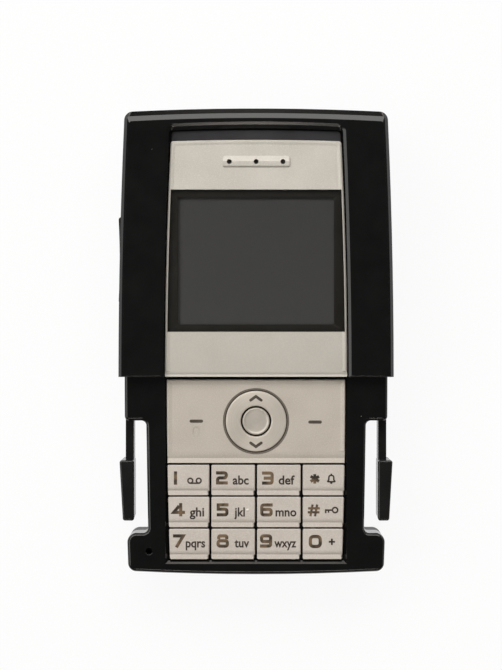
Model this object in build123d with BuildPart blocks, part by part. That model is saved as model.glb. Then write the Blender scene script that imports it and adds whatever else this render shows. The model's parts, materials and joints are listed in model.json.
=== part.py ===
from build123d import *
import os

# A bar-shaped mobile phone: a wide black collar round the display, a narrower keypad half below it, and two
# sprung arms with barbed pads in the side notches of that half. It lies on its back. +Z points out of the
# display, +Y towards the earpiece and +X to the reader's right. The origin is on the back face, in the
# middle of the outline. Lengths are in millimetres.

os.makedirs("parts", exist_ok=True)

# Every cut runs past the face that it opens by this much.
overrun = 1.0

# Silver field of the lower half: the soft-key panel, then three rows of four keys.
field_step = 0.27
field_taper = 0.57
field_fit = 0.25
seam_gap = 0.51
panel_height = 15.21
panel_gap = 0.35
column_share = 0.256
key_height = 5.53
column_gap = 0.38
row_gap = 0.30
key_corner = 0.25
key_edge = 0.14
key_lip = 0.22
key_slope = 0.90
key_ledge = 0.85
key_ledge_drop = 0.30
key_ledge_rise = 0.08
ledge_inset = 0.30
ledge_inset_corner = 0.20
panel_rim = 0.30
panel_rim_slope = 0.60
panel_dip = 0.14
panel_slope = 1.25
panel_ledge = 0.90
panel_ledge_drop = 0.26
panel_ledge_rise = 0.22
key_columns = 4
key_rows = 3
bottom_frame = 2.79
rim_bevel = 0.60

# Round controls in the soft-key panel.
ring_radius = 5.55
ring_groove = 0.50
ring_ledge = 0.20
ring_ledge_depth = 0.45
ring_crown = 0.08
softkey_x = 10.75
button_radius = 2.48
button_gap = 0.30
button_rise = 0.12
button_edge = 0.25
button_slope = 0.50
button_dish = 0.14

# Outline of the body, from the silver field outwards.
notch_frame = 3.53
slot_width = 2.45
arm_thickness = 1.50
notch_drop = 8.0
notch_length = 20.5
notch_taper = 0.35
notch_corner = 0.9
brow_corner = 0.8
rear_brow_corner = 1.3
toe_corner = 1.7
foot_corner = 1.5
foot_inset = 0.69
end_bow = 0.62
shell_edge = 0.60
shell_wall = 1.5
cavity_corner = 0.8

# Collar.
collar_wall = 0.9
collar_fit = 0.10
head_inset = 1.11
head_corner = 1.6
crest_corner = 0.4
flank_drop = 0.65
crest_drop = 0.28
side_flank = 0.55
side_crest = 0.36
head_flank = 0.90
head_crest = 0.90
step_edge = 0.25
side_bevel = 0.55
head_bevel = 1.1
lip_width = 0.50
lip_drop = 0.16
top_bar = 2.47
opening_gap = 0.33
opening_bow = 0.45
opening_corner = 0.5
opening_corner_share = 0.75

# Faceplate, from its lower edge up: the bare strip, the lens and the earpiece band.
face_setback = 0.05
strip_height = 8.14
lens_height = 25.86
ear_height = 9.01
face_width = 33.08
face_inset = 1.06
face_bow = 0.25
face_corner = 0.5
face_fit = 0.20
face_edge = 0.20
face_bevel = 0.24
face_rim = 0.45
face_rim_slope = 0.40
face_dip = 0.14
strip_slope = 0.60
strip_ledge = 0.40
strip_drop = 0.14
strip_rise = 0.14
lens_rim = 0.36
lens_fit = 0.04
lens_edge = 0.12
lens_set = 0.05
insert_gap = 0.10
insert_height = 1.70
insert_thickness = 0.80
insert_inset = 0.12
insert_corner = 0.6
ear_bar_length = 12.1
ear_bar_height = 2.1
ear_bar_rise = 0.40
ear_bar_drop = 3.96
ear_bar_corner = 0.40
ear_hole = 0.9
ear_hole_count = 3
ear_hole_pitch = 4.87

# Display behind the lens.
view_side = 2.325
view_drop = 1.35
view_corner = 0.45
mask_thickness = 0.10
face_ledge = 0.40
gasket_inset = 0.20
gasket_rim = 0.40
gasket_fit = 0.15
glass_thickness = 1.3
glass_margin = 0.65
glass_apron = 2.80
glass_set = 0.25
glass_fit = 0.15
frame_fit = 0.1
flex_width = 16.0
flex_thickness = 0.15
flex_gap = 0.10

# Layers from the back face up.
cover_thickness = 1.2
cell_gap = 0.2
battery_thickness = 4.6
bay_floor = 0.8
shield_gap = 0.1
shield_height = 1.4
board_thickness = 0.8
dome_height = 0.25
mat_gap = 0.05
mat_thickness = 0.8
post_height = 0.35
key_travel = 0.4
key_rest_gap = 0.05
key_depth = 2.2
rim_rise = 0.1
front_wall = 1.4
face_thickness = 1.5
recess_depth = 0.8

# Clip arms, their pins and springs.
arm_base = 5.0
arm_depth = 4.5
pad_base = 1.2
pad_depth = 11.2
pad_drop = 7.3
pad_length = 11.05
pad_shoulder = 1.0
pad_toe = 0.38
pad_inset = 0.10
pad_lean = 0.30
pad_corner = 0.45
pad_edge = 0.35
pivot_rise = 4.4
eye_radius = 1.3
eye_shift = 1.4
pin_radius = 0.6
pin_fit = 0.03
pin_bite = 1.1
channel_gap = 0.35
channel_swing = 0.75
spring_thickness = 0.2
spring_gap = 0.1

# Side key on the left of the collar.
side_key_length = 15.8
side_key_centre = 21.3
side_key_depth = 3.2
side_key_height = 10.6
side_key_proud = 0.16
side_key_dip = 0.22
side_key_corner = 0.5
side_key_fit = 0.2
side_pocket = 0.85
side_rib = 0.35
side_rib_gap = 0.03
switch_radius = 1.0
switch_thickness = 0.15
switch_offset = 4.6

# Rear shell, battery and its cover.
back_edge = 1.2
back_wall = 1.3
battery_side = 3.2
battery_length = 42.0
battery_fit = 0.3
battery_edge = 0.6
battery_foot_gap = 9.9
cover_margin = 0.85
cover_fit = 0.1
cover_lap = 1.6
rail_inset = 0.7
rail_reach = 0.6
rail_thickness = 0.7
grip_count = 5
grip_length = 12.0
grip_width = 0.7
grip_depth = 0.35
grip_pitch = 1.6
grip_rise = 7.0

# Board and what it carries.
board_fit = 0.3
shield_margin = 3.1
head_shield_length = 9.0
shield_side = 2.9
shield_edge = 0.3
holder_width = 27.0
holder_length = 17.0
holder_fit = 0.3
holder_rise = 12.5
card_width = 25.0
card_thickness = 0.9
dome_radius = 1.9
dome_sides = 8
dome_slope = 70
lamp_length = 1.6
lamp_width = 0.8
lamp_panel_share = 0.45
post_width = 2.4
connector_width = 16.0
connector_length = 4.2
connector_height = 3.2
connector_set = 0.35
contact_count = 10
contact_width = 0.6
contact_depth = 0.8
contact_rise = 0.8
contact_height = 1.6
contact_pitch = 1.4
blade_count = 3
blade_pitch = 2.4
blade_width = 1.0
blade_block_width = 8.0
blade_block_length = 1.5
blade_reach = 0.2
blade_rise = 2.0
receiver_length = 12.5
receiver_width = 6.5
receiver_corner = 1.0
sound_slot_length = 11.2
sound_slot_width = 1.8
mic_gap = 3.26
mic_rise = 4.2
mic_port = 1.0
mic_flare = 0.2
flare_angle = 45
mic_radius = 1.15
mic_height = 1.6
boot_wall = 0.25
boot_fit = 0.05

# Sound and radio pieces in the head of the rear shell.
ringer_radius = 6.2
ringer_height = 3.0
ringer_x = 9.5
ringer_margin = 1.2
ringer_edge = 0.4
ringer_slot_count = 4
ringer_slot_length = 7.0
ringer_slot_width = 0.8
ringer_slot_pitch = 1.9
motor_radius = 2.0
motor_length = 8.0
motor_x = 3.0
motor_margin = 1.2
motor_lift = 0.1
weight_radius = 1.8
weight_length = 3.0
weight_gap = 0.4
shaft_radius = 0.4
shaft_fit = 0.03
weight_wall = 0.7
carrier_gap = 0.6
carrier_length = 7.5
carrier_height = 3.2
antenna_thickness = 0.3
antenna_slot = 1.0

# Housing screws.
screw_radius = 0.7
screw_fit = 0.03
screw_way = 0.12
screw_head_radius = 1.3
screw_head_height = 0.9
screw_head_set = 0.4
screw_bite = 4.5
screw_drive = 0.55
screw_drive_depth = 0.5
screw_drive_sides = 6
boss_wall = 1.1
head_screw_inset = 1.99
head_screw_drop = 5.6
brow_screw_inset = 0.05
brow_screw_drop = 4.7

# Plan, worked out from the sizes above.
field_width = face_width - 2 * field_step
key_pitch_x = field_width * column_share
key_pitch_y = key_height + row_gap
keypad_height = key_rows * key_height + (key_rows - 1) * row_gap
lower_length = seam_gap + panel_height + panel_gap + keypad_height + bottom_frame
face_height = strip_height + lens_height + ear_height
upper_length = face_setback + face_height + insert_gap + insert_height + opening_gap + head_bevel + top_bar
body_length = lower_length + upper_length
foot_y = -body_length / 2
head_y = body_length / 2
step_y = foot_y + lower_length
panel_head = step_y - seam_gap
panel_foot = panel_head - panel_height
panel_y = (panel_head + panel_foot) / 2
keypad_head = panel_foot - panel_gap
keypad_foot = keypad_head - keypad_height
field_half = field_width / 2
notch_head_half = field_half + field_fit + notch_frame
notch_foot_half = notch_head_half - notch_taper
notch_head = step_y - notch_drop
notch_foot = notch_head - notch_length
housing_half = notch_head_half + slot_width + arm_thickness
housing_head = head_y - collar_wall - collar_fit
collar_half = housing_half + collar_fit + collar_wall
face_half = face_width / 2
face_foot = step_y + face_setback
face_head = face_foot + face_height
lens_foot = face_foot + strip_height
lens_head = lens_foot + lens_height
insert_foot = face_head + insert_gap
insert_head = insert_foot + insert_height
opening_head = insert_head + opening_gap
ear_y = face_head - ear_bar_drop
view_width = face_width - 2 * view_side
view_height = lens_height - 2 * view_drop
view_y = (lens_head + lens_foot) / 2
gasket_width = view_width + 2 * (gasket_inset + gasket_rim)
gasket_height = view_height + 2 * (gasket_inset + gasket_rim)
glass_width = view_width + 2 * glass_margin
glass_height = view_height + glass_margin + glass_apron
glass_head = view_y + view_height / 2 + glass_margin
glass_foot = glass_head - glass_height
glass_y = (glass_head + glass_foot) / 2
cavity_half = notch_foot_half - shell_wall
head_cavity_half = housing_half - head_inset - shell_wall
cavity_foot = foot_y + end_bow + shell_wall
cavity_head = housing_head - end_bow - shell_wall

# Levels, worked out from the layers.
battery_base = cover_thickness + cell_gap
battery_top = battery_base + battery_thickness
floor_base = battery_top + cell_gap
parting = floor_base + bay_floor
shield_base = parting + shield_gap
board_base = shield_base + shield_height
board_top = board_base + board_thickness
mat_base = board_top + dome_height + mat_gap
mat_top = mat_base + mat_thickness
post_top = mat_top + post_height
key_base = post_top + key_travel + key_rest_gap
key_top = key_base + key_depth
shell_front = key_top + rim_rise
deck_base = shell_front - front_wall
face_front = shell_front + face_thickness
body_depth = face_front + recess_depth
crest_base = body_depth - crest_drop
flank_base = crest_base - flank_drop
ledge_top = shell_front + face_ledge
lens_base = ledge_top + mask_thickness
face_field = face_front - face_dip
panel_field = key_top - panel_dip
glass_top = shell_front - glass_set
glass_base = glass_top - glass_thickness

# Arms, channels and side key.
arm_inner = housing_half - arm_thickness
arm_top = arm_base + arm_depth
pivot_x = housing_half - eye_shift
pivot_y = notch_head + pivot_rise
channel_inner = arm_inner - channel_swing
channel_head = pivot_y + eye_radius + channel_gap
head_cavity_foot = channel_head + shell_wall
pad_head = notch_head - pad_drop
pad_foot = pad_head - pad_length
side_key_y = step_y + side_key_centre
side_key_base = side_key_height - side_key_depth / 2
side_key_face = collar_half + side_key_proud
side_key_back = housing_half - side_pocket + side_rib

# Battery bay and cover.
battery_width = 2 * (notch_foot_half - battery_side)
battery_foot = foot_y + battery_foot_gap
battery_head = battery_foot + battery_length
bay_foot = battery_foot - battery_fit
bay_head = battery_head + battery_fit
bay_half = battery_width / 2 + battery_fit
cover_half = bay_half + cover_margin
cover_head = bay_head + cover_lap
rear_cavity_foot = cover_head + shell_wall

# Screw places: two in the head and two between the step and the notches. The microphone is beside the keys.
head_screw_x = head_cavity_half - head_screw_inset
brow_screw_x = notch_head_half - brow_screw_inset
mic_x = field_half + mic_gap

# Widths of the shield cans and of the antenna, which lies between the bosses of the head screws.
shield_width = 2 * (cavity_half - board_fit - shield_side)
carrier_width = 2 * (head_screw_x - screw_radius - boss_wall - carrier_gap)
screw_places = [(side * head_screw_x, head_y - head_screw_drop) for side in (1, -1)]
brow_screw_places = [(side * brow_screw_x, step_y - brow_screw_drop) for side in (1, -1)]


def save(piece, name):
    """Label a finished piece and write it under its own name."""
    piece.part.label = name
    export_step(piece.part, f"parts/{name}.step")


def barrel(half, foot_half, foot_end, head_half, head_end, corner):
    """Outline with bowed sides, widest at the step, and bowed ends with rounded corners."""
    with BuildSketch() as outline:
        with BuildLine():
            for side in (1, -1):
                waist = (side * half, step_y)
                TangentArc(waist, (side * foot_half, foot_end + end_bow), tangent=(0, -1))
                TangentArc(waist, (side * head_half, head_end - end_bow), tangent=(0, 1))
            ThreePointArc((-foot_half, foot_end + end_bow), (0, foot_end), (foot_half, foot_end + end_bow))
            ThreePointArc((-head_half, head_end - end_bow), (0, head_end), (head_half, head_end - end_bow))
        make_face()
        fillet(outline.vertices().sort_by(Axis.Y)[:2], foot_corner)
        fillet(outline.vertices().sort_by(Axis.Y)[-2:], corner)
    return outline.sketch


def tapered(half, start, end_half, end, bow=0, corner=0):
    """Outline that leaves its wide straight edge square and narrows along bowed sides to its other end."""
    way = 1 if end > start else -1
    with BuildSketch() as outline:
        with BuildLine():
            Line((-half, start), (half, start))
            TangentArc((half, start), (end_half, end - way * bow), tangent=(0, way))
            TangentArc((-half, start), (-end_half, end - way * bow), tangent=(0, way))
            if bow:
                ThreePointArc((end_half, end - way * bow), (0, end), (-end_half, end - way * bow))
            else:
                Line((end_half, end), (-end_half, end))
        make_face()
        if corner:
            ends = outline.vertices().sort_by(Axis.Y)
            fillet(ends[-2:] if way > 0 else ends[:2], corner)
    return outline.sketch


def housing_barrel():
    """Outline of the inner housing, without its notches."""
    head_half = housing_half - head_inset
    return barrel(housing_half, housing_half - foot_inset, foot_y, head_half, housing_head, head_corner)


def collar_barrel(side_in=0, head_in=0, corner=head_corner):
    """Outline of the collar, drawn in at its sides and head. It carries on below the step until it is cut."""
    half = collar_half - side_in
    return barrel(half, half - foot_inset, foot_y, half - head_inset, head_y - head_in, corner)


def body_outline(brow):
    """Outline of the body with a notch in each side."""
    far = collar_half + overrun
    with BuildSketch() as outline:
        add(housing_barrel())
        for side in (1, -1):
            with BuildLine():
                Polyline(
                    (side * notch_head_half, notch_head),
                    (side * far, notch_head),
                    (side * far, notch_foot),
                    (side * notch_foot_half, notch_foot),
                    close=True,
                )
            make_face(mode=Mode.SUBTRACT)
        middle = notch_head_half + slot_width / 2
        for level, outer_corner in ((notch_head, brow), (notch_foot, toe_corner)):
            ends = outline.vertices().filter_by(lambda point: abs(point.Y - level) < collar_fit)
            fillet(ends.filter_by(lambda point: abs(point.X) < middle), notch_corner)
            ends = outline.vertices().filter_by(lambda point: abs(point.Y - level) < collar_fit)
            fillet(ends.filter_by(lambda point: abs(point.X) > middle), outer_corner)
    return outline.sketch


def field_shape(grow):
    """Outline of the silver field of the lower half, grown by a clearance."""
    return tapered(
        field_half + grow, panel_head + grow, field_half - field_taper + grow, keypad_foot - grow
    )


def face_shape(shrink, head_in=0, foot_out=0):
    """Outline of the faceplate, drawn in at its sides and head, and drawn out at its foot."""
    half = face_half - shrink
    return tapered(half, face_foot - foot_out, half - face_inset, face_head - head_in, face_bow, face_corner)


def opening_shape(side_grow, head_grow):
    """Outline of the opening in the collar, rounder where it is larger. It runs out through the step."""
    half = face_half + face_fit + side_grow
    corner = opening_corner + opening_corner_share * head_grow
    return tapered(half, step_y - overrun, half - face_inset, opening_head + head_grow, opening_bow, corner)


def panel_shape(shrink):
    """Outline of the soft-key panel's recessed face, drawn in from its rim. It runs out at the foot."""
    with BuildSketch() as outline:
        add(field_shape(-shrink))
        with Locations((0, panel_y - overrun / 2)):
            Rectangle(field_width, panel_height + overrun, mode=Mode.INTERSECT)
    return outline.sketch


def ledge_cut(top, foot, slope, ledge, drop, rise):
    """Side profile of what is cut from a silver piece: a rounded slope, then a ledge that rises again."""
    with BuildSketch() as profile:
        with BuildLine():
            crown = (foot + ledge + slope, top)
            crease = (foot + ledge, top - drop)
            TangentArc(crown, crease, tangent=(-1, 0))
            Polyline(
                crease,
                (foot, top - drop + rise),
                (foot - overrun, top - drop + rise),
                (foot - overrun, top + overrun),
                (foot + ledge + slope, top + overrun),
                crown,
            )
        make_face()
    return profile.sketch


def channel_shape():
    """Plan of the side recesses in which the arms are pinned."""
    with BuildSketch() as plan:
        for side in (1, -1):
            with Locations((side * pivot_x, pivot_y)):
                Circle(eye_radius + channel_gap)
            reach = collar_half - channel_inner
            length = channel_head - notch_head + overrun
            with Locations((side * (channel_inner + reach / 2), channel_head - length / 2)):
                Rectangle(reach, length)
    return plan.sketch


def pad_shape(inner):
    """Plan of the right arm's pad, from its inner side to its barbed outer side."""
    with BuildSketch() as plan:
        with BuildLine():
            Polyline(
                (inner, pad_head),
                (housing_half + pad_shoulder, pad_head),
                (housing_half + pad_toe, pad_foot),
                (inner, pad_foot),
                close=True,
            )
        make_face()
        fillet(plan.vertices(), pad_corner)
    return plan.sketch


def board_shape():
    """Plan of the main board: wide behind the display, narrow between the notches."""
    half = cavity_half - board_fit
    head_half = head_cavity_half - board_fit
    head_length = cavity_head - head_cavity_foot - 2 * board_fit
    foot_length = cavity_head - cavity_foot - 2 * board_fit
    with BuildSketch() as plan:
        with Locations((0, cavity_head - board_fit - head_length / 2)):
            Rectangle(2 * head_half, head_length)
        with Locations((0, cavity_head - board_fit - foot_length / 2)):
            Rectangle(2 * half, foot_length)
        with Locations(*screw_places):
            Circle(screw_radius + boss_wall + board_fit, mode=Mode.SUBTRACT)
    return plan.sketch


# Section of the earpiece bar from its upper edge over the crest to its lower edge, as shares of its height
# and rise.
ear_bar_shares = ((0.5, 0.0), (0.5, 0.2), (0.02, 1.0), (-0.36, 0.85), (-0.5, 0.0))

# Key cells: the lines between columns, and the centre line of each row.
column_lines = [(index - key_columns / 2) * key_pitch_x for index in range(1, key_columns)]
row_centres = [keypad_head - key_height / 2 - row * key_pitch_y for row in range(key_rows)]
cell_starts = [-field_half - overrun] + [line + column_gap / 2 for line in column_lines]
cell_ends = [line - column_gap / 2 for line in column_lines] + [field_half + overrun]
column_centres = [(index - (key_columns - 1) / 2) * key_pitch_x for index in range(key_columns)]
key_places = [(x, y) for y in row_centres for x in column_centres]
panel_places = [(0, panel_y)]
panel_places += [(side * (ring_radius + button_radius) / 2, panel_y) for side in (1, -1)]
panel_places += [(0, panel_y + side * (ring_radius + button_radius) / 2) for side in (1, -1)]
panel_places += [(side * softkey_x, panel_y) for side in (1, -1)]

# Lower front shell: the black body of the keypad half. It runs on under the collar as the faceplate's deck.
with BuildPart() as lower_front_shell:
    with BuildSketch(Plane.XY.offset(parting)):
        add(body_outline(brow_corner))
    extrude(amount=shell_front - parting)
    fillet(lower_front_shell.faces().sort_by(Axis.Z)[-1].edges(), shell_edge)
    with BuildSketch(Plane.XY.offset(parting)) as cavity:
        with Locations((0, (cavity_head + cavity_foot) / 2)):
            Rectangle(2 * cavity_half, cavity_head - cavity_foot)
        with Locations((0, (cavity_head + head_cavity_foot) / 2)):
            Rectangle(2 * head_cavity_half, cavity_head - head_cavity_foot)
        fillet(cavity.vertices(), cavity_corner)
    extrude(amount=deck_base - parting, mode=Mode.SUBTRACT)
    # Opening of the silver field, with a bevelled rim that widens towards the foot.
    with BuildSketch(Plane.XY.offset(deck_base - overrun)):
        add(field_shape(field_fit))
    extrude(amount=front_wall + 2 * overrun, mode=Mode.SUBTRACT)
    with BuildSketch(Plane.XY.offset(shell_front - rim_bevel)):
        add(field_shape(field_fit))
    with BuildSketch(Plane.XY.offset(shell_front)):
        bevel_half = field_half - field_taper + field_fit + rim_bevel
        bevel_foot = keypad_foot - field_fit - rim_bevel
        add(tapered(field_half + field_fit, panel_head + field_fit, bevel_half, bevel_foot))
    loft(ruled=True, mode=Mode.SUBTRACT)
    # Windows for the display and the earpiece, and the microphone's port.
    with BuildSketch(Plane.XY.offset(deck_base - overrun)):
        with Locations((0, glass_y)):
            Rectangle(glass_width + 2 * glass_fit, glass_height + 2 * glass_fit)
        with Locations((0, ear_y)):
            SlotOverall(sound_slot_length, sound_slot_width)
        with Locations((-mic_x, foot_y + mic_rise)):
            Circle(mic_port / 2)
    extrude(amount=front_wall + 2 * overrun, mode=Mode.SUBTRACT)
    with BuildSketch(Plane.XY.offset(shell_front - mic_flare)):
        with Locations((-mic_x, foot_y + mic_rise)):
            Circle(mic_port / 2)
    extrude(amount=mic_flare, taper=-flare_angle, mode=Mode.SUBTRACT)
    with BuildSketch(Plane.XY.offset(parting)):
        with Locations((-mic_x, foot_y + mic_rise)):
            Circle(mic_radius + boot_wall + boot_fit)
    extrude(amount=deck_base - parting, mode=Mode.SUBTRACT)
    # Side recesses and pin holes of the arms.
    with BuildSketch(Plane.XY.offset(parting)):
        add(channel_shape())
    extrude(amount=arm_top + channel_gap - parting, mode=Mode.SUBTRACT)
    with BuildSketch(Plane.XY.offset(parting)):
        with Locations((pivot_x, pivot_y), (-pivot_x, pivot_y)):
            Circle(pin_radius + pin_fit)
    extrude(amount=arm_top + channel_gap + pin_bite - parting, mode=Mode.SUBTRACT)
    # Bosses and holes of the screws.
    with BuildSketch(Plane.XY.offset(parting)):
        with Locations(*screw_places):
            Circle(screw_radius + boss_wall)
    extrude(amount=deck_base - parting)
    with BuildSketch(Plane.XY.offset(parting)):
        with Locations(*screw_places, *brow_screw_places):
            Circle(screw_radius + screw_fit)
    extrude(amount=screw_bite + screw_fit, mode=Mode.SUBTRACT)
    # Pocket behind the side key, and the seat of the system connector.
    with BuildSketch(Plane.XY.offset(side_key_base - side_key_fit)):
        with Locations((-housing_half, side_key_y)):
            Rectangle(2 * side_pocket, side_key_length + 2 * side_key_fit)
    extrude(amount=side_key_depth + 2 * side_key_fit, mode=Mode.SUBTRACT)
    with BuildSketch(Plane.XY.offset(parting)):
        with Locations((0, foot_y)):
            Rectangle(connector_width + 2 * board_fit, 2 * connector_length)
    extrude(amount=board_base - parting + board_fit, mode=Mode.SUBTRACT)
save(lower_front_shell, "lower_front_shell")

# Upper front shell: the collar, open at its lower edge, that wraps the deck and frames the faceplate.
with BuildPart() as upper_front_shell:
    with BuildSketch(Plane.XY.offset(parting)):
        add(collar_barrel())
    extrude(amount=flank_base - parting)
    with BuildSketch(Plane.XY.offset(flank_base)):
        add(collar_barrel())
    with BuildSketch(Plane.XY.offset(crest_base)):
        add(collar_barrel(side_flank, head_flank, crest_corner))
    loft(ruled=True)
    with BuildSketch(Plane.XY.offset(crest_base)):
        add(collar_barrel(side_flank, head_flank, crest_corner))
    with BuildSketch(Plane.XY.offset(body_depth)):
        add(collar_barrel(side_flank + side_crest, head_flank + head_crest, crest_corner))
    loft(ruled=True)
    split(bisect_by=Plane(origin=(0, step_y, 0), z_dir=(0, 1, 0)), keep=Keep.TOP)
    front_edges = upper_front_shell.edges().filter_by(GeomType.LINE).filter_by(Axis.X)
    fillet(front_edges.sort_by(Axis.Z)[-1:], step_edge)
    with BuildSketch(Plane.XY.offset(parting)):
        add(housing_barrel())
        offset(amount=collar_fit, mode=Mode.REPLACE)
    extrude(amount=shell_front - parting, mode=Mode.SUBTRACT)
    with BuildSketch(Plane.XY.offset(shell_front)):
        add(opening_shape(0, 0))
    extrude(amount=face_thickness, mode=Mode.SUBTRACT)
    with BuildSketch(Plane.XY.offset(face_front)):
        add(opening_shape(0, 0))
    with BuildSketch(Plane.XY.offset(body_depth - lip_drop)):
        add(opening_shape(side_bevel - lip_width, head_bevel - lip_width))
    loft(ruled=True, mode=Mode.SUBTRACT)
    with BuildSketch(Plane.XY.offset(body_depth - lip_drop)):
        add(opening_shape(side_bevel - lip_width, head_bevel - lip_width))
    with BuildSketch(Plane.XY.offset(body_depth)):
        add(opening_shape(side_bevel, head_bevel))
    loft(ruled=True, mode=Mode.SUBTRACT)
    with BuildSketch(Plane.XY.offset(side_key_base - side_key_fit)):
        with Locations((-collar_half, side_key_y)):
            Rectangle(2 * (collar_half - side_key_back + side_rib), side_key_length + 2 * side_key_fit)
    extrude(amount=side_key_depth + 2 * side_key_fit, mode=Mode.SUBTRACT)
save(upper_front_shell, "upper_front_shell")

# Blank of the back half: both outlines with their back edges rounded, before anything is cut out of it.
with BuildPart() as collar_back:
    with BuildSketch():
        add(collar_barrel())
    extrude(amount=parting)
    fillet(collar_back.faces().sort_by(Axis.Z)[0].edges(), back_edge)
    split(bisect_by=Plane(origin=(0, step_y, 0), z_dir=(0, 1, 0)), keep=Keep.TOP)

with BuildPart() as back_blank:
    with BuildSketch():
        add(body_outline(rear_brow_corner))
    extrude(amount=parting)
    fillet(back_blank.faces().sort_by(Axis.Z)[0].edges(), back_edge)
    add(collar_back.part)

# Places of what the rear shell holds.
holder_y = battery_foot + holder_rise
holder_head = holder_y + holder_length / 2
ringer_y = rear_cavity_foot + ringer_margin + ringer_radius
motor_y = rear_cavity_foot + motor_margin + motor_radius
motor_z = back_wall + motor_lift + motor_radius
blade_base = battery_base + blade_rise
rail_half = cover_half + rail_reach
rail_width = rail_inset + rail_reach
rail_head = cover_head - rail_inset
rail_foot = foot_y + end_bow + back_edge
head_seat = screw_head_set + screw_head_height

# Rear shell: the back of the phone, with the battery bay, the slideway of its cover and the head room.
with BuildPart() as rear_shell:
    add(back_blank.part)
    with BuildSketch(Plane.XY.offset(-overrun)):
        with Locations((0, (bay_head + bay_foot) / 2)):
            Rectangle(2 * bay_half, bay_head - bay_foot)
    extrude(amount=floor_base + overrun, mode=Mode.SUBTRACT)
    with BuildSketch(Plane.XY.offset(-overrun)):
        with Locations((0, (cover_head + cover_fit + foot_y - overrun) / 2)):
            Rectangle(2 * (cover_half + cover_fit), cover_head + cover_fit - foot_y + overrun)
    extrude(amount=cover_thickness + cover_fit + overrun, mode=Mode.SUBTRACT)
    with BuildSketch(Plane.XY.offset(cover_thickness - cover_fit)):
        groove_length = rail_head + cover_fit - foot_y + overrun
        groove_y = rail_head + cover_fit - groove_length / 2
        for side in (1, -1):
            with Locations((side * (rail_half - rail_width / 2), groove_y)):
                Rectangle(rail_width + 2 * cover_fit, groove_length)
    extrude(amount=rail_thickness + 2 * cover_fit, mode=Mode.SUBTRACT)
    with BuildSketch(Plane.XY.offset(back_wall)) as head_room:
        with Locations((0, (cavity_head + rear_cavity_foot) / 2)):
            Rectangle(2 * head_cavity_half, cavity_head - rear_cavity_foot)
        fillet(head_room.vertices(), cavity_corner)
    extrude(amount=parting, mode=Mode.SUBTRACT)
    # Window of the card holder, and the recess of the battery connector.
    with BuildSketch(Plane.XY.offset(floor_base - overrun)):
        with Locations((0, holder_y)):
            Rectangle(holder_width + 2 * holder_fit, holder_length + 2 * holder_fit)
    extrude(amount=bay_floor + 2 * overrun, mode=Mode.SUBTRACT)
    with BuildSketch(Plane.XY.offset(blade_base - board_fit)):
        with Locations((0, bay_head)):
            Rectangle(blade_block_width + 2 * board_fit, 2 * (blade_block_length + board_fit))
    extrude(amount=parting, mode=Mode.SUBTRACT)
    with BuildSketch(Plane.XY.offset(board_base - connector_height - board_fit)):
        with Locations((0, foot_y)):
            Rectangle(connector_width + 2 * board_fit, 2 * (connector_length + board_fit))
    extrude(amount=connector_height + board_fit, mode=Mode.SUBTRACT)
    # Side recesses and pin holes of the arms.
    with BuildSketch(Plane.XY.offset(arm_base - channel_gap)):
        add(channel_shape())
    extrude(amount=parting, mode=Mode.SUBTRACT)
    with BuildSketch(Plane.XY.offset(arm_base - channel_gap - pin_bite)):
        with Locations((pivot_x, pivot_y), (-pivot_x, pivot_y)):
            Circle(pin_radius + pin_fit)
    extrude(amount=parting, mode=Mode.SUBTRACT)
    # Bosses, holes and head seats of the screws.
    with BuildSketch(Plane.XY.offset(back_wall)):
        with Locations(*screw_places):
            Circle(screw_radius + boss_wall)
    extrude(amount=parting - back_wall)
    with BuildSketch(Plane.XY.offset(-overrun)):
        with Locations(*screw_places, *brow_screw_places):
            Circle(screw_radius + screw_way)
    extrude(amount=parting + 2 * overrun, mode=Mode.SUBTRACT)
    with BuildSketch(Plane.XY.offset(-overrun)):
        with Locations(*screw_places, *brow_screw_places):
            Circle(screw_head_radius + screw_way)
    extrude(amount=head_seat + overrun, mode=Mode.SUBTRACT)
    # Sound slots of the ringer.
    with BuildSketch(Plane.XY.offset(-overrun)):
        with Locations((-ringer_x, ringer_y)):
            with GridLocations(0, ringer_slot_pitch, 1, ringer_slot_count):
                SlotOverall(ringer_slot_length, ringer_slot_width)
    extrude(amount=back_wall + 2 * overrun, mode=Mode.SUBTRACT)
save(rear_shell, "rear_shell")

# Battery cover: the lower back of the phone, which slides off towards the foot on two rails.
with BuildPart() as battery_cover:
    add(back_blank.part)
    with BuildSketch():
        with Locations((0, (cover_head + foot_y - overrun) / 2)):
            Rectangle(2 * cover_half, cover_head - foot_y + overrun)
    extrude(amount=cover_thickness, mode=Mode.INTERSECT)
    with BuildSketch(Plane.XY.offset(cover_thickness)):
        for side in (1, -1):
            with Locations((side * (rail_half - rail_width / 2), (rail_head + rail_foot) / 2)):
                Rectangle(rail_width, rail_head - rail_foot)
    extrude(amount=rail_thickness)
    with BuildSketch():
        with Locations((0, foot_y + grip_rise)):
            with GridLocations(0, grip_pitch, 1, grip_count):
                SlotOverall(grip_length, grip_width)
    extrude(amount=grip_depth, mode=Mode.SUBTRACT)
save(battery_cover, "battery_cover")

# Battery pack with rounded long edges.
with BuildPart() as battery_pack:
    with BuildSketch(Plane.XY.offset(battery_base)):
        with Locations((0, (battery_head + battery_foot) / 2)):
            RectangleRounded(battery_width, battery_length, battery_edge)
    extrude(amount=battery_thickness)
    chamfer(battery_pack.faces().sort_by(Axis.Z)[0].edges(), battery_edge / 2)
save(battery_pack, "battery_pack")

# Battery connector: a block on the board whose blades reach into the bay.
with BuildPart() as battery_connector:
    with BuildSketch(Plane.XY.offset(blade_base)):
        with Locations((0, bay_head + blade_block_length / 2)):
            Rectangle(blade_block_width, blade_block_length)
    extrude(amount=board_base - blade_base)
    with BuildSketch(Plane.XY.offset(blade_base)):
        with Locations((0, bay_head)):
            with GridLocations(blade_pitch, 0, blade_count, 1):
                Rectangle(blade_width, 2 * blade_reach)
    extrude(amount=battery_top - blade_base)
save(battery_connector, "battery_connector")

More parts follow.
